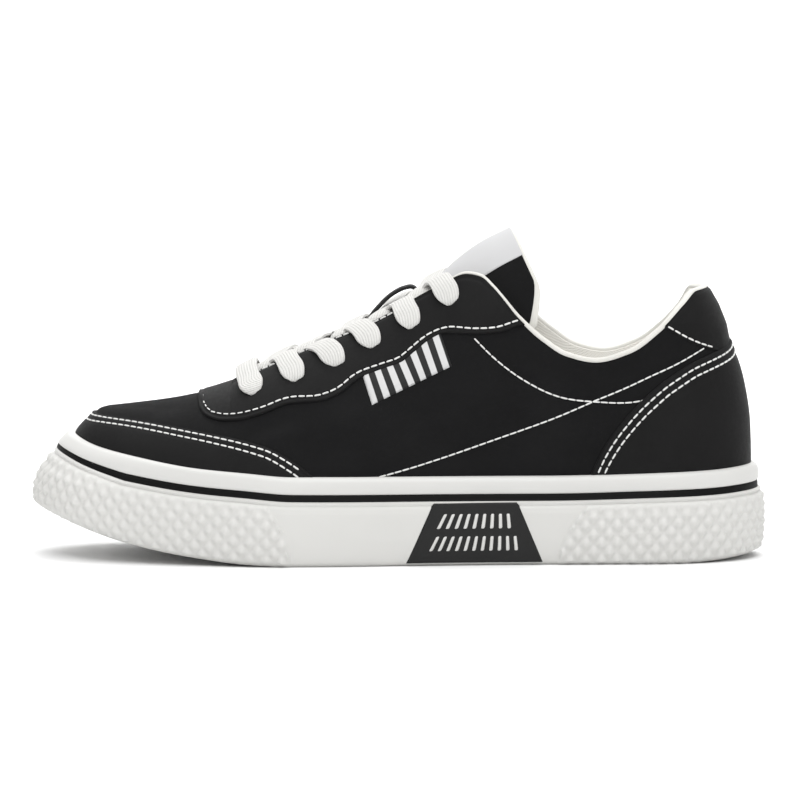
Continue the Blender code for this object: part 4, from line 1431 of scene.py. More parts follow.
@dataclass
class Upper:
    """The canvas shell with its lining, edge tape and the seams across its quarters."""

    columns: int = 300
    rows: int = 46
    lining_columns: int = 200
    lining_rows: int = 30
    canvas: float = 1.1
    lining: float = 2.6
    collar_pad: float = 3.2
    fold_share: float = 2.2
    seam_pull: float = 0.28
    seam_flat: float = 3.0
    seam_reach: float = 1.5
    seam_lift: float = -0.1
    fold_fade: Pair = (1.0, 0.93)
    lining_gap: float = 0.05
    lining_folds: float = 0.3
    inner_rows: int = 20
    pad_span: Pair = (30.0, 70.0)
    pad_place: Pair = (0.86, 0.13)
    edging: Table = field(
        default_factory=lambda: table(
            "station lift rise wide thick",
            (-66, -1.3, -0.55, 2.2, 1.2),
            (-4, -1.3, -0.55, 2.3, 1.25),
            (8, -1.3, 0.3, 2.6, 1.5),
            (28, -1.3, 0.6, 3.1, 1.9),
            (48, -1.25, 0.7, 3.1, 2.0),
            (56, -1.1, 0.25, 3.3, 2.2),
            (138, -1.1, 0.2, 3.3, 2.2),
        )
    )
    low_line: Line = (
        (-8.8, 34.7), (0.4, 37.1), (39.2, 49.7), (64.4, 58.8), (76.5, 64.0), (89.1, 69.2),
        (99.2, 73.9), (109.3, 78.4), (121.4, 84.8)
    )
    high_line: Line = (
        (29.6, 88.9), (37.2, 81.4), (48.8, 72.7), (63.2, 65.9), (78.0, 63.9), (92.4, 63.8), (98.4, 64.9)
    )
    creases: tuple[Crease, ...] = (
        Crease((-66.0, 49.0), (-36.0, 60.5), 3.0, -0.42),
        Crease((-60.0, 46.5), (-30.0, 55.0), 3.6, 0.40),
        Crease((-40.0, 42.0), (-14.0, 50.0), 4.5, -0.35),
        Crease((-31.0, 50.0), (-12.0, 62.0), 4.0, 0.38),
        Crease((-2.0, 46.0), (28.0, 60.0), 5.5, 0.42),
        Crease((8.0, 56.0), (34.0, 74.0), 4.6, -0.42),
        Crease((34.0, 60.0), (62.0, 78.0), 5.0, 0.40),
        Crease((52.0, 62.0), (74.0, 76.0), 3.8, -0.36),
        Crease((70.0, 46.0), (94.0, 62.0), 5.0, 0.32),
        Crease((-100.0, 57.5), (-84.0, 62.0), 3.0, -0.30),
    )

    def relief(self, points: Array) -> Array:
        """Folds of the cloth, and the pull of the seams across the quarters.

        Args:
            points: Points of the upper.

        Returns:
            Millimetres, one for each point.
        """
        paths = [even_path(np.array(line), 60) for line in (self.low_line, self.high_line)]
        gaps = points[..., None, [0, 2]] - np.concatenate(paths)
        gap = np.linalg.norm(gaps, axis=-1).min(axis=-1)
        folds = sum(crease.relief(points) for crease in self.creases)
        folds = self.fold_share * folds * (1 - bump(gap, 0.0, self.seam_flat))
        return folds - self.seam_pull * bump(gap, 0.0, self.seam_reach)

    def shell(self, columns: int, rows: int, outer: float, inner: float) -> Skin:
        """Builds one closed layer of the shell.

        Args:
            columns: Even columns round the foot.
            rows: Rows of the outer face.
            outer: The outer face's lift.
            inner: The inner face's lift.

        Returns:
            The layer's mesh in the making.
        """
        angles = column_angles(columns)
        heights = np.linspace(0, 1, rows)
        back = np.linspace(1, 0, self.inner_rows)
        points = LAST.point(angles[:, None], heights)
        folds = self.relief(points) * ramp(*self.fold_fade, heights)
        station = LAST.station(angles)[:, None]
        pad = 0.0
        if inner < -self.canvas:
            pad = self.collar_pad * ramp(*self.pad_span, station) * bump(back, *self.pad_place)
        share = 1.0 if outer == 0 else self.lining_folds
        out = LAST.offset(angles[:, None], heights, outer + share * folds)
        into = LAST.offset(angles[:, None], back, inner - pad)
        grid = np.concatenate([out, into], axis=1)
        skip = np.zeros(grid.shape[:2], bool)
        ridge = LAST.station(angles) <= LAST.throat_x + 1e-4
        skip[:, rows - 1] = ridge & np.roll(ridge, -1)
        skin = Skin()
        skin.add_grid(grid, around=True, across=True, skip=skip)
        return skin

    def tape(self) -> bpy.types.Object:
        """Makes the cream tape folded over the collar and throat edges.

        Returns:
            The tape.
        """
        nose = LAST.angle(LAST.throat_x + np.array([0.0, 0.3, 0.9, 1.8, 3.0, 4.6, 6.6]), Side.INNER)
        half = np.concatenate([nose, np.linspace(nose[-1] + 0.02, np.pi, 150)])
        angles = np.concatenate([-half, half[-2:0:-1]])
        station = LAST.station(angles)
        lift, rise, wide, thick = (
            blend(self.edging, name, station) for name in ("lift", "rise", "wide", "thick")
        )
        path = LAST.offset(angles, 1.0, lift)
        path[:, 2] += rise
        skin = Skin()
        out = LAST.normal(angles, np.ones(len(angles)))
        sweep(skin, path, out, wide, thick, oval(16, 2.6), closed=True)
        return skin.build("edge_tape", BINDING, Slot.LABEL)

    def build(self, holes: LaceHoles) -> None:
        """Makes the shell, its lining, tape and quarter seams.

        Args:
            holes: The lace holes.
        """
        canvas = self.shell(self.columns, self.rows, 0.0, -self.canvas)
        canvas = canvas.build("upper_canvas", CANVAS, Slot.CANVAS, "upper")
        outer = -self.canvas - self.lining_gap
        lining = self.shell(self.lining_columns, self.lining_rows, outer, -self.lining)
        lining = lining.build("upper_lining", LINING, Slot.FOAM)
        holes.punch([canvas, lining])
        self.tape()
        seams = Stitching(length=3.05, gap=0.15, wide=0.64)
        for side in Side:
            for line in (self.low_line, self.high_line):
                seams.sew_seen(np.array(line), self.seam_lift, side)
        seams.build("quarter_seams")


def spread_angles(first: float, last: float, count: int, fine: bool = True) -> Array:
    """Columns between two angles, closer together at both ends.

    Args:
        first: The first angle.
        last: The last angle.
        count: Even columns between.
        fine: Whether the ends get close columns for a rounded edge.

    Returns:
        Increasing angles.
    """
    even = np.linspace(first, last, count)
    if not fine:
        return even
    near = np.array([0.0, 0.0007, 0.0022, 0.005, 0.009, 0.014])
    inner = even[(even > first + 0.018) & (even < last - 0.018)]
    return np.concatenate([first + near, inner, (last - near)[::-1]])


@dataclass
class LacePanel(Panel):
    """One side of the eyestay: free along the throat, joined to the other side in front of it."""

    def edge_distance(self, heights: Array, from_low: Array, from_high: Array) -> Array:
        """The distance to the nearest free edge, round the end of the throat."""
        ahead = np.maximum(LAST.throat_x - LAST.station(self.angles), 0)[:, None]
        return super().edge_distance(heights, from_low, np.hypot(from_high, ahead))


@dataclass
class Overlays:
    """Toe guard, eyestay, heel counter and heel tab, with their seams."""

    toe_tail: Pair = (-33.8, 35.5)
    counter_front: Pair = (75.7, 35.8)
    tab_front: Pair = (104.8, 92.8)
    eyestay_back: Pair = (49.6, 94.2)
    behind_band: float = 5.0
    tab_tip: float = 0.985
    tab_overlap: float = 2.0
    tab_seam_x: float = 125.0
    throat_seam_x: float = 8.0
    back_seam_x: float = 48.6
    seams: Stitching = field(default_factory=Stitching)

    def below_rim(self, angles: Array) -> Array:
        """Heights where a panel ends behind the foxing."""
        return LAST.height_at(angles, LAST.level("rim", angles) - self.behind_band)

    def toe(self) -> None:
        """Makes the wing-shaped toe guard with its two rows of stitches."""
        end = float(LAST.seen_angle(*self.toe_tail, Side.INNER))
        angles = spread_angles(-end, end, 230, fine=False)
        high = LAST.edge_height(TOE_EDGE, angles)
        guard = Panel("toe_guard", angles, self.below_rim(angles), high, (Edge.HIGH,), (1.5, 4.1))
        guard.build("toe_overlay")
        for distance in guard.grooves:
            self.seams.sew_on_last(*guard.row(distance, Edge.HIGH, 5.0))

    def counter(self) -> None:
        """Makes the swept heel panel with its two rows of stitches."""
        end = float(LAST.seen_angle(*self.counter_front, Side.INNER))
        angles = spread_angles(end, 2 * np.pi - end, 190, fine=False)
        high = LAST.edge_height(COUNTER_EDGE, angles)
        low = self.below_rim(angles)
        panel = Panel("heel_panel", angles, low, high, (Edge.HIGH,), (2.5, 5.5), thick=1.3)
        panel.build("heel_counter")
        for distance in panel.grooves:
            self.seams.sew_on_last(*panel.row(distance, Edge.HIGH, 5.0))

    def heel_top(self) -> None:
        """Makes the padded tab at the back of the collar."""
        end = float(LAST.seen_angle(*self.tab_front, Side.INNER))
        angles = spread_angles(end, 2 * np.pi - end, 110)
        edge = LAST.point(angles, LAST.edge_height(COUNTER_EDGE, angles))
        counter = LAST.height_at(angles, edge[:, 2] - self.tab_overlap)
        low = np.clip(LAST.edge_height(HEEL_TAB_EDGE, angles), counter, self.tab_tip)
        free = (Edge.LOW, Edge.HIGH, Edge.FIRST, Edge.LAST)
        panel = Panel("heel_tab_pad", angles, low, np.ones(len(angles)), free, (1.0,), thick=0.85)
        made = panel.build("heel_tab", puff=0.9)
        angle, height, lift = panel.row(panel.grooves[0], Edge.LOW, 0.4)
        seen = LAST.point(angle, height)[:, 0] < self.tab_seam_x
        for side in Side:
            part = seen & (np.sin(angle) * side.value > 0)
            self.seams.sew_on_last(angle[part], height[part], lift)

    def eyestay(self) -> list[bpy.types.Object]:
        """Makes both sides of the lace panel with their seams.

        Returns:
            The two sides.
        """
        front = float(LAST.seen_angle(EYESTAY_EDGE["x"][0], EYESTAY_EDGE["height"][0], Side.INNER))
        back = float(LAST.seen_angle(*self.eyestay_back, Side.INNER))
        near = np.array([-1.6, -0.7, -0.2, 0.0, 0.12, 0.4, 0.9, 1.6, 2.6, 3.8])
        nose = LAST.angle(LAST.throat_x + near, Side.INNER)
        columns = spread_angles(front, back, 170)
        columns = columns[np.abs(columns[:, None] - nose).min(axis=1) > 0.002]
        columns = np.sort(np.concatenate([columns, nose]))
        made = []
        for side, name in ((Side.OUTER, "eyestay_outer"), (Side.INNER, "eyestay_inner")):
            angles = columns * side.value
            low = LAST.edge_height(EYESTAY_EDGE, angles)
            free = (Edge.LOW, Edge.HIGH, Edge.FIRST)
            panel = LacePanel(name, angles, low, np.ones(len(angles)), free, (1.3, 2.15), thick=1.25)
            made.append(panel.build("eyestay"))
            line = even_path(np.stack([EYESTAY_EDGE["x"], EYESTAY_EDGE["height"]], axis=1), 120)
            way = unit(np.gradient(line, axis=0))
            line = line + np.stack([-way[:, 1], way[:, 0]], axis=1) * panel.grooves[1]
            lift = float(panel.lift(np.array(panel.grooves[1]))) - panel.thread_sink
            self.seams.sew_seen(line[line[:, 0] < self.back_seam_x], lift, side)
            angle, height, lift = panel.row(panel.grooves[0], Edge.HIGH)
            beside = (LAST.station(angle) > LAST.throat_x + 3.0) & (LAST.station(angle) < self.throat_seam_x)
            self.seams.sew_on_last(angle[beside], height[beside], lift)
        return made

    def build(self, holes: LaceHoles) -> None:
        """Makes the panels in the order they are sewn on.

        Args:
            holes: The lace holes.
        """
        self.toe()
        self.counter()
        self.heel_top()
        holes.punch(self.eyestay())
        self.seams.build("panel_seams")


@dataclass(frozen=True)
class SoleWall:
    """The outer face of the sole, from the floor to the rim of the foxing."""

    heel_reach: float = 0.16
    toe_reach: float = 0.2
    foot_tall: float = 10.0
    side_tall: float = 14.4
    plain_side: Pair = (-40.0, 60.0)
    heel_power: float = 0.8
    toe_power: float = 1.2
    samples: int = 3000
    girth_z: float = 22.0

    def frame(self, angle: Array) -> tuple[Array, Array]:
        """The upper at the rim, and the level way out of it."""
        height = LAST.height_at(angle, LAST.level("rim", angle))
        return LAST.point(angle, height), LAST.level_out(angle, height)

    def spread(self, columns: Table, angle: Array, at: Array) -> Array:
        """An offset of the wall, mixed between its side, heel and toe columns.

        Args:
            columns: The table of offsets.
            angle: Angles round the foot.
            at: Places along the table's first column.

        Returns:
            Millimetres out from the upper.
        """
        share = LAST.share(LAST.station(angle))
        heel = np.clip(1 - share / self.heel_reach, 0, 1) ** self.heel_power
        toe = np.clip(1 - (1 - share) / self.toe_reach, 0, 1) ** self.toe_power
        side, back, front = (blend(columns, name, at) for name in ("side", "heel", "toe"))
        return side + (back - side) * heel + (front - side) * toe

    def point(self, angle: Array, z: Array, extra: Array | float = 0.0) -> Array:
        """Points of the wall.

        Args:
            angle: Angles round the foot, one for each column.
            z: Heights over the floor, columns by rows.
            extra: More lift off the wall.

        Returns:
            Columns by rows of points.
        """
        angle, z = np.asarray(angle, float)[:, None], np.asarray(z, float)
        start, out = self.frame(angle[:, 0])
        rim, bottom = LAST.level("rim", angle), LAST.level("bottom", angle)
        foot = self.spread(SOLE_FOOT, angle, z - bottom)
        side = self.spread(SOLE_SIDE, angle, rim - z)
        low, high = bottom + self.foot_tall, rim - self.side_tall
        share = np.clip((z - low) / (high - low), 0, 1)
        lift = foot + (side - foot) * share + extra
        points = start[:, None] + out[:, None] * lift[..., None]
        points[..., 2] = z
        return points

    def inside(self, angle: Array, z: Array, lift: float) -> Array:
        """Points on the upper at heights over the floor, moved level.

        Args:
            angle: Angles round the foot.
            z: Heights over the floor, columns by rows.
            lift: Millimetres outward.

        Returns:
            Columns by rows of points.
        """
        angle, z = np.broadcast_arrays(np.asarray(angle, float)[:, None], z)
        height = LAST.height_at(angle, z)
        points = LAST.point(angle, height) + LAST.level_out(angle, height) * lift
        points[..., 2] = z
        return points

    def columns(self, toe_step: float, side_step: float) -> tuple[Array, Array]:
        """Columns from the toe to the heel: even steps from both ends, wider ones along the side.

        Args:
            toe_step: Millimetres between columns in the knurled fields.
            side_step: Millimetres between columns along the sides.

        Returns:
            Angles of one side from 0 to a half turn, and their distance from the toe.
        """
        fine = np.linspace(0, np.pi, self.samples)
        edge = self.point(fine, np.full((self.samples, 1), self.girth_z))[:, 0]
        reach = arc_lengths(edge)
        ends = np.interp(self.plain_side, edge[:, 0], reach)
        toe = np.arange(0, ends[0] + toe_step, toe_step)
        heel = reach[-1] - np.arange(0, reach[-1] - ends[1] + toe_step, toe_step)[::-1]
        count = int(np.ceil((heel[0] - toe[-1]) / side_step))
        at = np.concatenate([toe, np.linspace(toe[-1], heel[0], count + 1)[1:-1], heel])
        return np.interp(at, reach, fine), at


WALL = SoleWall()


@dataclass
class KnurledField:
    """A raised field of the wall with rows of rounded diamonds."""

    edge: Table
    ahead: int
    step: float = 0.65
    tall: float = 1.25
    wide: float = 6.2
    high: float = 6.9
    border: float = 0.7
    margin: float = 1.7
    foot: float = 0.9
    roundness: float = 2.6
    valley: Pair = (0.0, 0.3)
    fade: Pair = (10.0, 2.0)
    fade_less: float = 0.3
    edge_slope: float = 0.92
    edge_wide: float = 0.9
    border_ease: float = 0.5
    dome: Pair = (1.15, 1.8)

    def peaks(self, around: Array, drop: Array) -> Array:
        """Heights of the rounded diamonds from 0 in the valleys to 1.

        Args:
            around: Distance round the sole from the field's middle.
            drop: Distance under the wall's upper edge, columns by rows.

        Returns:
            Heights, columns by rows.
        """
        across, down = around[:, None] / self.wide, drop / self.high
        ways = (across + down, across - down)
        off = sum(np.abs(2 * (way - np.floor(way)) - 1) ** self.roundness for way in ways)
        return np.clip(1 - off ** (1 / self.roundness), 0, 1)

    def relief(self, points: Array, around: Array, top: Array) -> Array:
        """The field's lift over the wall.

        Args:
            points: Columns by rows of the wall.
            around: Distance round the sole from the field's middle, for each column.
            top: Height of the wall's upper edge, for each column.

        Returns:
            The lift, columns by rows.
        """
        inside = self.ahead * (points[..., 0] - blend(self.edge, "x", points[..., 2])) * self.edge_slope
        drop = top[:, None] - points[..., 2]
        low = points[..., 2] - points[:, -1:, 2]
        inside = np.minimum(inside, drop - self.margin)
        small = ramp(*self.fade, drop)
        floor = self.valley[0] + (self.valley[1] - self.valley[0]) * small
        stud = np.clip((self.peaks(around, drop) - floor) / (1 - floor), 0, 1)
        peak = (1 - (1 - stud ** self.dome[0]) ** self.dome[1]) * (1 - self.fade_less * small)
        depth = np.minimum(inside, low + self.border - self.foot)
        shown = ramp(self.border - self.border_ease, self.border + self.border_ease, depth)
        return self.step * ramp(0.0, self.edge_wide, inside) + self.tall * peak * shown


@dataclass
class Sole:
    """Cupsole, black line, foxing tape, tread and the inlay in the outer side."""

    foxing_tall: float = 6.95
    toe_less: float = 2.75
    toe_reach: float = 0.1
    inner_rise: float = 2.4
    line_tall: float = 2.75
    toe_line: float = 1.9
    cuts: int = 12
    cup_step: float = 2.4
    lip: float = 0.12
    recess: Pair = (1.6, 1.8)
    bead: Triple = (0.35, 0.6, 0.55)
    bead_groove: Triple = (0.4, 1.75, 0.42)
    bed_gap: float = 0.4
    band_steps: Pair = (1.9, 2.6)
    toe_field: KnurledField = field(
        default_factory=lambda: KnurledField(
            table("z x", (0.8, -42.4), (8.8, -43.3), (15.8, -46.3), (23.7, -51.6), (30.0, -56.2)), -1
        )
    )
    heel_field: KnurledField = field(
        default_factory=lambda: KnurledField(
            table("z x", (1.6, 62.0), (7.6, 63.7), (16.8, 68.3), (24.1, 74.3), (30.0, 79.0)), 1
        )
    )
    patch_low: Pair = (1.4, 57.2)
    patch_high: Pair = (17.4, 42.2)
    patch_z: Pair = (0.9, 25.2)
    patch_rise: float = 34.8
    rib_rows: tuple[tuple[float, float, int], ...] = ((0.20, 0.45, 11), (0.56, 0.81, 9))
    rib_span: float = 0.74
    tread_pitch: float = 8.4
    tread_wave: float = 24.0
    tread_slope: float = 0.75
    tread_deep: float = 1.3
    tread_thick: float = 2.4
    tread_ends: float = 0.035
    tread_grid: tuple[int, int] = (250, 66)
    tread_inset: float = 0.35
    tread_groove: Pair = (0.30, 0.42)
    tread_margin: Pair = (4.2, 5.4)
    sock_rise: float = 4.5
    sock_inset: float = 3.2
    sock_grid: tuple[int, int] = (130, 26)
    sock_turn: float = 1.6
    sock_cup: float = 1.1
    sock_cup_span: Pair = (20.0, 90.0)

    def bands_tall(self, angles: Array) -> tuple[Array, Array]:
        """Heights of the foxing tape and of the black line, both less round the toe.

        Args:
            angles: Angles round the foot.

        Returns:
            Both heights in millimetres, one for each angle.
        """
        toe = np.clip(1 - (1 - LAST.share(LAST.station(angles))) / self.toe_reach, 0, 1)
        line = self.line_tall + (self.toe_line - self.line_tall) * toe
        return self.foxing_tall - self.toe_less * toe, line

    def cup(self) -> None:
        """Makes the white cup with its knurled toe and heel."""
        half, reach = WALL.columns(self.toe_field.wide / self.cuts, self.cup_step)
        angles = np.concatenate([-half[:0:-1], half[:-1]])
        around = np.concatenate([reach[:0:-1], reach[:-1]])
        side = np.sign(angles + 1e-12)
        bottom, rim = LAST.level("bottom", angles), LAST.level("rim", angles)
        top = rim - np.add(*self.bands_tall(angles))
        row = self.toe_field.high / self.cuts
        drop = row * np.arange(int(np.ceil((top - bottom).max() / row)) + 1)
        z = np.maximum(top[:, None] - drop, bottom[:, None] + self.lip)
        plain = WALL.point(angles, z)
        from_toe, from_heel = side * around, side * (reach[-1] - around)
        lift = self.toe_field.relief(plain, from_toe, top) + self.heel_field.relief(plain, from_heel, top)
        (rise, *bead), (deep, *groove) = self.bead, self.bead_groove
        lift = lift + rise * bump(drop, *bead) - deep * bump(drop, *groove)
        wall = WALL.point(angles, z, lift)
        up, inset = self.recess
        floor = WALL.point(angles, bottom[:, None] + np.array([[self.lip, up]]), -inset)
        bed = LAST.level("bed", angles)
        share = np.array([1.0, 0.7, 0.35, 0.0])
        within = WALL.inside(angles, top[:, None] + (bed + self.bed_gap - top)[:, None] * share, 0.1)
        skin = Skin()
        grid = np.concatenate([within, wall, floor], axis=1)
        skin.add_grid(grid, around=True)
        across = np.arange(len(half))
        for ring in (grid[:, 0], grid[:, -1]):
            other = ring[(len(half) - 1 + across) % len(ring)]
            skin.add_grid(np.stack([ring[len(half) - 1 - across], other], axis=1))
        skin.build("cup_wall", WHITE_RUBBER, Slot.WHITE_RUBBER, "cupsole")

    def bands(self) -> None:
        """Makes the black line and the foxing tape above it."""
        half, _ = WALL.columns(*self.band_steps)
        angles = np.concatenate([-half[:0:-1], half[:-1]])
        rim = LAST.level("rim", angles)[:, None]
        foxing, line = (tall[:, None] for tall in self.bands_tall(angles))
        drops = foxing + line * np.array([1.25, 1.02, 0.9, 0.5, 0.1, -0.02, -0.25])
        lifts = np.array([-1.4, -0.55, -0.3, -0.2, -0.3, -0.55, -1.4])
        band = WALL.point(angles, rim - drops, lifts)
        back = WALL.inside(angles, rim - drops[:, [-1, 0]], -0.2)
        skin = Skin()
        skin.add_grid(np.concatenate([band, back], axis=1), around=True, across=True)
        # The black line takes the finish whose darker tone is painted recess shade.
        skin.build("black_line", LINE_RUBBER_PAINTED_SHADE, Slot.BLACK_RUBBER, "stripe_band")
        drops = foxing * np.array([1.0, 0.985, 0.95, 0.87, 0.7, 0.52, 0.33, 0.18, 0.09, 0.038, 0.009, 0.0])
        lifts = np.array([-0.75, -0.3, -0.06, 0.0, 0.0, 0.0, 0.0, 0.0, -0.08, -0.3, -0.65, -1.1])
        rise = self.inner_rise * (ramp(-0.1, 0.2, angles) * ramp(1.3, 0.5, angles))[:, None]
        tape = WALL.point(angles, rim - drops + rise * (1 - drops / foxing), lifts)
        share = np.array([0.0, 0.45, 1.0])
        back = WALL.inside(angles, rim - foxing * share + rise * (1 - share), -0.25)
        skin = Skin()
        skin.add_grid(np.concatenate([tape, back], axis=1), around=True, across=True)
        skin.build("foxing_tape", FOXING_RUBBER, Slot.WHITE_RUBBER, "foxing_band")

    def tread(self) -> None:
        """Makes the outsole with its herringbone grooves."""
        half = np.linspace(self.tread_ends, np.pi - self.tread_ends, self.tread_grid[0])
        bottom = LAST.level("bottom", half)[:, None]
        sides = [WALL.point(side.value * half, bottom, -self.tread_inset)[:, 0] for side in Side]
        share = np.linspace(0, 1, self.tread_grid[1])[None, :, None]
        face = sides[0][:, None] + (sides[1] - sides[0])[:, None] * share
        centre = self.tread_grid[1] // 2
        middle = face[:, centre : centre + 1, 1]
        reach = np.abs(face[..., 1] - middle)
        margin = np.min([np.linalg.norm(face - side[:, None], axis=2) for side in sides], axis=0)
        ends = np.minimum(face[..., 0] - face[0, 0, 0], face[-1, 0, 0] - face[..., 0])
        half_wave = self.tread_wave / 2
        zigzag = np.abs((reach + half_wave / 2) % self.tread_wave - half_wave)
        wave = (face[..., 0] + self.tread_slope * zigzag) / self.tread_pitch
        groove = ramp(*self.tread_groove, np.abs(wave - np.round(wave)))
        face[..., 2] += self.tread_deep * groove * ramp(*self.tread_margin, np.minimum(margin, ends))
        back = face[:, ::-8].copy()
        back[..., 2] = bottom + self.tread_thick
        skin = Skin()
        skin.add_closed(np.concatenate([face, back], axis=1))
        skin.build("tread", WHITE_RUBBER, Slot.WHITE_RUBBER)

    def patch_x(self, share: Array, z: Array) -> Array:
        """Places along the inlay, from its toe edge to its heel edge, at heights over the floor.

        Args:
            share: Places from 0 to 1.
            z: Heights over the floor.

        Returns:
            Places along the shoe.
        """
        up = z / self.patch_rise
        first = self.patch_low[0] + (self.patch_high[0] - self.patch_low[0]) * up
        last = self.patch_low[1] + (self.patch_high[1] - self.patch_low[1]) * up
        return first + (last - first) * share

    def wall_plate(self, skin: Skin, share: Array, z: Array, lift: Array, under: float) -> None:
        """Adds a plate on the outer wall.

        Args:
            skin: The mesh to add to.
            share: Places along the inlay, columns by rows.
            z: Heights over the floor, columns by rows.
            lift: The plate's lift, columns by rows.
            under: The lift of its back.
        """
        x = self.patch_x(share, z)
        angle = LAST.angle(x, Side.OUTER)
        at = (angle.ravel(), z.ravel()[:, None])
        face, back = (
            WALL.point(*at, np.broadcast_to(up, x.shape).ravel()[:, None]).reshape(*x.shape, 3)
            for up in (lift, under)
        )
        skin.add_closed(np.concatenate([face, back[:, ::-1]], axis=1))

    def inlay(self) -> None:
        """Makes the black inlay with its raised frame and two rows of slanted white ribs."""
        near = np.array([0.0, 0.006, 0.018, 0.03, 0.045, 0.06])
        share = np.concatenate([near, np.linspace(0.09, 0.91, 30), 1 - near[::-1]])[:, None]
        up = np.concatenate([near * 1.3, np.linspace(0.12, 0.88, 14), 1 - 1.3 * near[::-1]])[None, :]
        share, up = np.broadcast_arrays(share, up)
        z = self.patch_z[0] + (self.patch_z[1] - self.patch_z[0]) * up
        edge = np.minimum(np.minimum(share, 1 - share) * 40, np.minimum(up, 1 - up) * 23)
        lift = -0.25 + 0.75 * ramp(0.0, 0.5, edge) - 0.3 * ramp(1.1, 1.7, edge)
        skin = Skin()
        self.wall_plate(skin, share, z, lift, -1.0)
        skin.build("side_inlay", BLACK_RUBBER, Slot.BLACK_RUBBER, "sole_patch")
        ribs = Skin()
        across, tall = np.linspace(0, 1, 7)[:, None], np.linspace(0, 1, 9)[None, :]
        dome = ramp(0.0, 0.3, np.minimum(across, 1 - across)) * ramp(0.0, 0.16, np.minimum(tall, 1 - tall))
        for low, high, count in self.rib_rows:
            for number in range(count):
                first = (1 - self.rib_span) / 2 + self.rib_span * (number + 0.1) / count
                wide = self.rib_span * 0.46 / count
                place = first + wide * across + 0.26 / count * tall
                up = low + (high - low) * tall + 0 * across
                z = self.patch_z[0] + (self.patch_z[1] - self.patch_z[0]) * up
                self.wall_plate(ribs, place, z, 0.1 + 0.45 * dome, -0.2)
        ribs.build("inlay_ribs", FOXING_RUBBER, Slot.WHITE_RUBBER)

    def sock(self) -> None:
        """Makes the insole with its turned-down edge."""
        half = np.linspace(0, np.pi, self.sock_grid[0])
        bed = LAST.level("bed", half)
        top = (bed + self.sock_rise)[:, None]
        rows = [WALL.inside(side.value * half, top, -self.sock_inset)[:, 0] for side in Side]
        share = np.linspace(0, 1, self.sock_grid[1])
        face = rows[0][:, None] + (rows[1] - rows[0])[:, None] * share[None, :, None]
        rise = 1 - np.sqrt(np.clip(1 - (2 * share - 1) ** 8, 0, 1))
        hollow = self.sock_cup * np.sin(np.pi * share) * ramp(*self.sock_cup_span, face[:, :1, 0])
        face[..., 2] += self.bed_gap - self.sock_turn * rise - hollow
        back = face[:, ::-5].copy()
        back[..., 2] = (bed + self.bed_gap)[:, None]
        skin = Skin()
        skin.add_grid(np.concatenate([face, back], axis=1), across=True)
        made = skin.build("sock_liner", INSOLE_CLOTH, Slot.FOAM, "insole")

    def build(self) -> None:
        """Makes the sole from the floor up."""
        self.cup()
        self.bands()
        self.tread()
        self.inlay()
        self.sock()


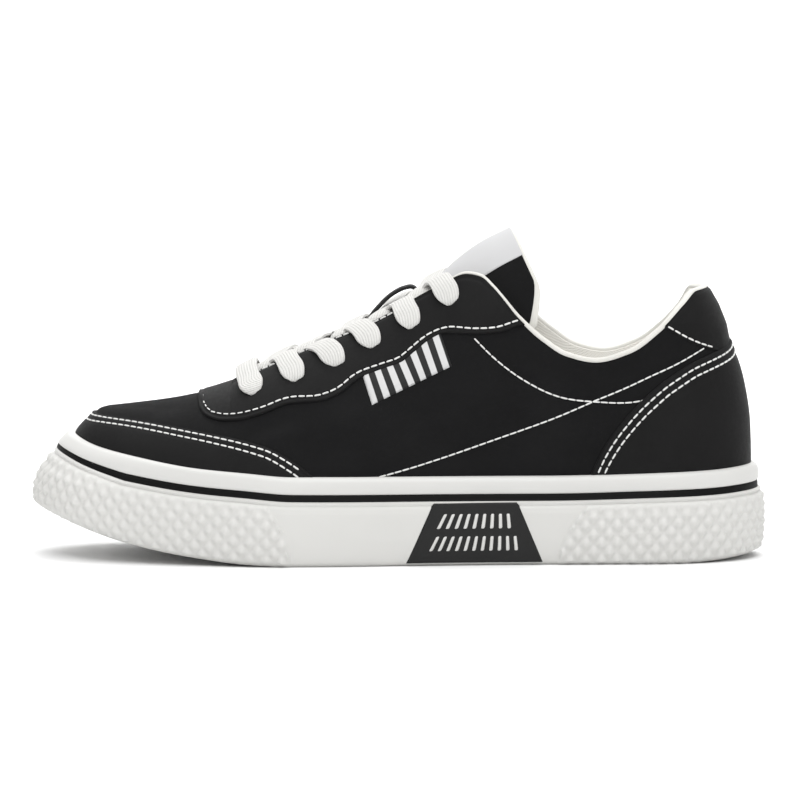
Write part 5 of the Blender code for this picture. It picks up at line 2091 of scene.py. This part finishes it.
@dataclass
class Tongue:
    """The padded tongue with its cream backing, blank label and lace keeper."""

    thick: float = 4.0
    label_span: Pair = (0.745, 1.0)
    label_half: float = 0.57
    thin_span: Pair = (0.80, 0.97)
    thin_less: float = 0.55
    long: float = 130.0
    half_wide: float = 25.0
    face_span: Pair = (0.01, 0.997)
    face_half: float = 0.965
    face_lifts: Pair = (-2.0, 0.0)
    face_grid: tuple[int, int] = (110, 60)
    back_span: Pair = (0.012, 1.008)
    back_lift: float = -1.3
    back_grid: tuple[int, int] = (90, 50)
    label_lifts: Pair = (-0.3, 0.9)
    label_grid: tuple[int, int] = (50, 44)
    corner: float = 0.062
    keeper_wide: float = 8.0
    keeper_thick: float = 1.7
    keeper: Line = (
        (-12.6, 90.0), (-11.4, 95.1), (-7.8, 99.8), (-3.0, 104.3),
        (2.2, 107.0), (5.4, 107.4), (7.4, 105.6), (8.2, 102.4)
    )

    @staticmethod
    def point(along: Array, across: Array) -> Array:
        """Points of the tongue's face: along it from 0 to 1, across it from -1 to 1.

        Args:
            along: Places along the tongue.
            across: Places across it.

        Returns:
            Points, with x, y and z last.
        """
        along, across = together(along, across)
        x = TONGUE["x"][0] + (TONGUE["x"][-1] - TONGUE["x"][0]) * along
        lean = np.radians(blend(TONGUE, "lean", x))
        drop = blend(TONGUE, "fall", x) * np.abs(across) ** 2.2
        y = blend(TONGUE, "half_wide", x) * across * (1.06 - 0.06 * across**2)
        y = y + blend(OUTLINE, "centre", x)
        z = blend(TONGUE, "height", x) - drop * np.cos(lean)
        return np.stack([x + drop * np.sin(lean), y, z], axis=-1)

    def normal(self, along: Array, across: Array) -> Array:
        """Outward directions of the tongue's face.

        Args:
            along: Places along the tongue.
            across: Places across it.

        Returns:
            Unit vectors.
        """
        nudge = 2e-3
        along = np.clip(along, nudge, 1 - nudge)
        forward = self.point(along + nudge, across) - self.point(along - nudge, across)
        sideways = self.point(along, across + nudge) - self.point(along, across - nudge)
        return unit(np.cross(forward, sideways))

    def offset(self, along: Array, across: Array, lift: Array | float) -> Array:
        """Points lifted off the tongue's face."""
        along, across, lift = together(along, across, lift)
        return self.point(along, across) + self.normal(along, across) * lift[..., None]

    def plate(
        self,
        span: Pair,
        half: float,
        lifts: Pair,
        shape: tuple[int, int],
        corner: float,
    ) -> Skin:
        """A plate that follows the tongue, with rounded edges.

        Args:
            span: Where it starts and ends along the tongue.
            half: Its half width across the tongue.
            lifts: Lifts of its back and of its face.
            shape: Columns and rows.
            corner: How far its top corners are rounded off, as a share of the tongue's length.

        Returns:
            The plate's mesh in the making.
        """
        ease = 0.5 - 0.5 * np.cos(np.linspace(0, np.pi, shape[0]))
        along = span[0] + (span[1] - span[0]) * ease[:, None]
        across = half * np.sin(np.linspace(-np.pi / 2, np.pi / 2, shape[1]))[None, :]
        ends = np.minimum(along - span[0], span[1] - along) * self.long
        beside = np.clip((np.abs(across) / half - 0.8) / 0.2, 0, 1)
        along = along - corner * beside**1.5 * ramp(0.5, 1.0, ease)[:, None]
        thin = 1 - self.thin_less * ramp(*self.thin_span, along)
        low, high = lifts[0] * thin, lifts[1] * thin
        sides = (half - np.abs(across)) * self.half_wide
        edge = np.clip(np.minimum(ends, sides) / (0.6 * (high - low)), 0, 1)
        puff = np.sqrt(1 - (1 - edge) ** 2)
        middle = (low + high) / 2
        face = self.offset(along, across, middle + (high - middle) * puff)
        back = self.offset(along, across, middle + (low - middle) * puff)
        skin = Skin()
        skin.add_grid(np.concatenate([face, back[:, ::-1]], axis=1), across=True)
        return skin

    def loop(self) -> None:
        """Makes the webbing loop that holds the laces."""
        path = even_path(np.array([(x, 0.0, z) for x, z in self.keeper]), 44)
        skin = Skin()
        sideways = np.tile([0.0, 1.0, 0.0], (len(path), 1))
        wide, thick = np.full(len(path), self.keeper_wide), np.full(len(path), self.keeper_thick)
        sweep(skin, path, sideways, wide, thick, oval(20, 4.0))
        skin.build("webbing_loop", WEBBING, Slot.OVERLAY, "lace_keeper")

    def build(self) -> None:
        """Makes the tongue's face, backing, label and loop."""
        face = self.plate(self.face_span, self.face_half, self.face_lifts, self.face_grid, self.corner)
        lifts = (-self.thick, self.back_lift)
        back = self.plate(self.back_span, 1.0, lifts, self.back_grid, self.corner)
        pads = (
            face.build("tongue_face", CANVAS, Slot.CANVAS, "tongue"),
            back.build("tongue_backing", BINDING, Slot.FOAM),
        )
        skin = self.plate(self.label_span, self.label_half, self.label_lifts, self.label_grid, 0.0)
        skin.build("blank_label", LABEL_CLOTH, Slot.LABEL, "tongue_label")
        self.loop()


@dataclass
class SideTab:
    """The striped ribbon label that the eyestay holds on the outer side."""

    low: tuple[Pair, Pair] = ((-10.6, 62.9), (20.9, 78.0))
    high_x: Pair = (-14.4, 16.4)
    tuck: float = 1.0
    thick: float = 0.75
    long: float = 34.0
    tall: float = 15.0
    puff: float = 0.5
    under: float = -0.3

    def build(self) -> None:
        """Makes the ribbon, laid on the quarter with its top under the eyestay."""
        along, up = np.linspace(0, 1, 50)[:, None], np.linspace(0, 1, 26)[None, :]
        (x0, z0), (x1, z1) = self.low
        top_x = self.high_x[0] + (self.high_x[1] - self.high_x[0]) * along
        top_z = blend(EYESTAY_EDGE, "height", top_x) + self.tuck
        low_x, low_z = x0 + (x1 - x0) * along, z0 + (z1 - z0) * along
        x, z = low_x + (top_x - low_x) * up, low_z + (top_z - low_z) * up
        angle = LAST.seen_angle(x, z, Side.OUTER)
        height = LAST.height_at(angle, z)
        edge = np.minimum(np.minimum(along, 1 - along) * self.long, up * self.tall)
        lift = 0.05 + self.thick * np.sqrt(1 - (1 - np.clip(edge / 0.5, 0, 1)) ** 2)
        lift = lift + self.puff * ramp(0, 4, edge) * ramp(1.0, 0.6, up) + 0 * along
        face = LAST.offset(angle, height, lift)
        back = LAST.offset(angle, height, self.under)
        skin = Skin()
        skin.add_closed(np.concatenate([face, back[:, ::-1]], axis=1))
        skin.build("ribbon_tab", STRIPE_CLOTH, Slot.LABEL, "side_tab")


@dataclass
class Laces:
    """One flat ribbed lace: a bar at the first holes, then crossings up to the last."""

    wide: float = 10.0
    crest_wide: float = 9.4
    thick: float = 2.0
    hole_wide: float = 3.2
    hole_thick: float = 2.8
    point: float = 1.75
    narrowing: Pair = (3.3, 9.6)
    crest_span: Pair = (9.5, 15.0)
    steps: int = 84
    ribs: int = 7
    over: float = 2.7
    behind: float = 2.8
    slope: float = 25.5
    hole_shift: Triple = (1.1, 0.0, -0.7)
    hole_lifts: Pair = (1.0, -3.0)
    crest_out: float = 1.03
    bar_rise: float = 0.8
    crossing_rise: Pair = (0.6, -2.2)
    below_lift: float = -4.4
    below_edge: Pair = (-1.2, 0.98)
    inside_edge: Pair = (0.8, 0.3)
    leaves: Table = field(
        default_factory=lambda: table(
            "index crest_x crest_z belly_x belly_z",
            (0, -3.3, 9.0, -1.2, 4.8),
            (1, -4.3, 8.7, -1.7, 4.8),
            (2, -7.2, 7.0, -3.0, 4.3),
            (3, -5.6, 7.5, -2.4, 4.3),
            (4, -3.3, 8.9, -1.2, 5.0),
            (5, -4.2, 8.2, -1.6, 4.6),
        )
    )

    def outline(self) -> Array:
        """The lace's section: a flat oval with ribs on both faces.

        Returns:
            Points of a section with a width and thickness of 1.
        """
        base = oval(56, 3.2)
        turn = np.pi * self.ribs * (base[:, 0] + 0.5)
        swell = 1 + 0.16 * (np.abs(np.sin(turn)) - 0.5)
        return base * np.stack([np.ones(len(base)), swell], axis=1)

    @staticmethod
    def brink(x: float, side: Side, inward: float, up: float) -> Array:
        """A place over the throat edge: moved in by a share of its distance, and up."""
        edge = LAST.point(LAST.angle(x, side), 1.0)
        return edge * [1.0, inward, 1.0] + [0.0, 0.0, up]

    def leaf(self, index: int, side: Side) -> list[Array]:
        """Points of a strand from its crest over the throat edge, across the panel, into a hole.

        Args:
            index: The number of the hole.
            side: The hole's side.

        Returns:
            The points in order.
        """
        x, z = EYELETS["x"][index], EYELETS["height"][index]
        crest_x, crest_z, belly_x, belly_z = (
            self.leaves[name][index] for name in ("crest_x", "crest_z", "belly_x", "belly_z")
        )
        crest = self.brink(x + crest_x, side, self.crest_out, 0.0)
        crest[2] = z + crest_z
        angle = LAST.seen_angle(x + belly_x, z + belly_z, side)
        belly = LAST.offset(angle, LAST.height_at(angle, z + belly_z), self.over)
        lip, end = (LaceHoles.place(index, side, lift)[0] for lift in self.hole_lifts)
        return [crest, belly, lip + self.hole_shift, end]

    def strand(self, skin: Skin, knots: list[Array], both: bool) -> None:
        """Adds one strand of lace.

        Args:
            skin: The mesh to add to.
            knots: Points that it passes.
            both: Whether its first end narrows into a hole too.
        """
        path = even_path(np.array(knots), self.steps)
        reach = arc_lengths(path)
        away = np.minimum(reach if both else np.inf, reach[-1] - reach)
        near = np.clip((away - self.narrowing[0]) / (self.narrowing[1] - self.narrowing[0]), 0, 1)
        full = (1 - (1 - near) ** self.point) ** (1 / self.point)
        broad = self.wide + (self.crest_wide - self.wide) * ramp(*self.crest_span, away)
        wide = self.hole_wide + (broad - self.hole_wide) * full
        thick = self.hole_thick + (self.thick - self.hole_thick) * full
        slope = math.radians(self.slope)
        sideways = np.tile([math.cos(slope), 0.0, math.sin(slope)], (len(path), 1))
        sweep(skin, path, sideways, wide, thick, self.outline())

    def bar(self, skin: Skin) -> None:
        """Adds the bar across the first pair of holes.

        Args:
            skin: The mesh to add to.
        """
        near, far = (self.leaf(0, side) for side in (Side.OUTER, Side.INNER))
        middle = (near[0] + far[0]) / 2 + [0, 0, self.bar_rise]
        self.strand(skin, near[::-1] + [middle] + far, True)

    def crossing(self, skin: Skin, index: int, side: Side, rise: float) -> None:
        """Adds a strand from under one throat edge, over the tongue and the other edge, into a hole.

        Args:
            skin: The mesh to add to.
            index: The number of the hole that it ends in.
            side: The side of that hole.
            rise: More lift at the crossing.
        """
        other = Side(-side.value)
        place = EYELETS["x"][index - 1] + self.behind
        start = LaceHoles.place(index - 1, other, self.below_lift)[0]
        shift, inward = self.below_edge
        below = self.brink(place + shift, other, inward, self.below_lift)
        inside = self.brink(place, other, *self.inside_edge)
        leaf = self.leaf(index, side)
        middle = (inside + leaf[0]) / 2 + [0.0, 0.0, rise]
        self.strand(skin, [start, below, inside, middle] + leaf, False)

    def build(self) -> None:
        """Makes the lace and ties it to its solids."""
        skin = Skin()
        self.bar(skin)
        for index in range(1, len(EYELETS["x"])):
            for side, rise in zip((Side.INNER, Side.OUTER), self.crossing_rise):
                self.crossing(skin, index, side, rise)
        names = ["lace_bar_1"] + [f"lace_cross_{number}" for number in range(2, 7)]
        skin.build("flat_lace", LACE_COTTON, Slot.LACE, *names)


@dataclass(frozen=True)
class Lamp:
    """A soft round lamp."""

    name: str
    place: Triple
    aim: Triple
    size: float
    power: float

    def build(self) -> None:
        """Adds the lamp to the scene."""
        data = bpy.data.lights.new(self.name, "AREA")
        data.shape, data.size, data.energy = "DISK", self.size, self.power
        made = link_object(self.name, data)
        made.location = self.place
        made.rotation_euler = (Vector(self.aim) - Vector(self.place)).to_track_quat("-Z", "Y").to_euler()


@dataclass
class Studio:
    """A pale sweep, soft lamps above, in front and behind, and the camera."""

    elevation: float = 4.5
    distance: float = 2.3
    target: Triple = (0.00053, 0.0, 0.062)
    lens: float = 258.75
    sensor: float = 36.0
    far: float = 50.0
    floor_tone: Triple = (0.91, 0.91, 0.91)
    floor_shade: Triple = (0.88, 0.88, 0.88)
    floor_front: float = -5.0
    floor_half: float = 6.0
    bend_start: float = 2.0
    bend_radius: float = 1.2
    wall_top: float = 4.5
    room_light: float = 0.56
    lamps: tuple[Lamp, ...] = (
        Lamp("top_light", (0.1, -0.5, 2.6), (0.0, 0.0, 0.0), 4.0, 68.0),
        Lamp("front_light", (0.3, -1.7, 1.3), (0.0, 0.0, 0.06), 0.8, 10.0),
        Lamp("sweep_light", (0.0, 1.4, 2.4), (0.0, 3.0, 0.6), 2.0, 60.0),
    )

    def sweep_floor(self) -> None:
        """Makes the floor that curves up behind the shoe."""
        turn = np.linspace(0, np.pi / 2, 24)
        start, radius = self.bend_start, self.bend_radius
        bend = [(start + radius * math.sin(t), radius - radius * math.cos(t)) for t in turn]
        profile = [(self.floor_front, 0.0), *bend, (start + radius, self.wall_top)]
        mesh = bpy.data.meshes.new("floor_sweep")
        points = [(x, y, z) for y, z in profile for x in (-self.floor_half, self.floor_half)]
        faces = [(2 * k, 2 * k + 1, 2 * k + 3, 2 * k + 2) for k in range(len(profile) - 1)]
        mesh.from_pydata(points, [], faces)
        mesh.shade_smooth()
        finish = Finish("pale_floor", self.floor_tone, self.floor_shade, (0.8, 0.9), 0.01)
        mesh.materials.append(finish.material())
        floor = link_object("floor_sweep", mesh)

    def camera(self) -> None:
        """Sets the camera at the photograph's angle."""
        data = bpy.data.cameras.new("camera")
        data.lens, data.sensor_width, data.sensor_fit = self.lens, self.sensor, "HORIZONTAL"
        data.clip_end = self.far
        made = link_object("camera", data)
        rise = math.radians(self.elevation)
        aim = Vector(self.target)
        made.location = aim + Vector((0.0, -math.cos(rise), math.sin(rise))) * self.distance
        made.rotation_euler = (aim - made.location).to_track_quat("-Z", "Y").to_euler()
        bpy.context.scene.camera = made

    def build(self) -> None:
        """Makes the floor, lights and camera."""
        self.sweep_floor()
        world = bpy.data.worlds.new("soft_room")
        world.use_nodes = True
        world.node_tree.nodes["Background"].inputs["Color"].default_value = (1.0, 1.0, 1.0, 1.0)
        world.node_tree.nodes["Background"].inputs["Strength"].default_value = self.room_light
        bpy.context.scene.world = world
        bpy.context.scene.view_settings.view_transform = "Standard"
        for lamp in self.lamps:
            lamp.build()
        self.camera()


def main() -> None:
    """Builds the studio and then the shoe, one sub-assembly after another."""
    logging.basicConfig(level=logging.INFO, format="%(name)s: %(message)s")
    Studio().build()
    holes = LaceHoles()
    for assembly in (Sole(), Tongue(), SideTab(), Laces()):
        assembly.build()
    Upper().build(holes)
    Overlays().build(holes)


if __name__ == "__main__":
    main()
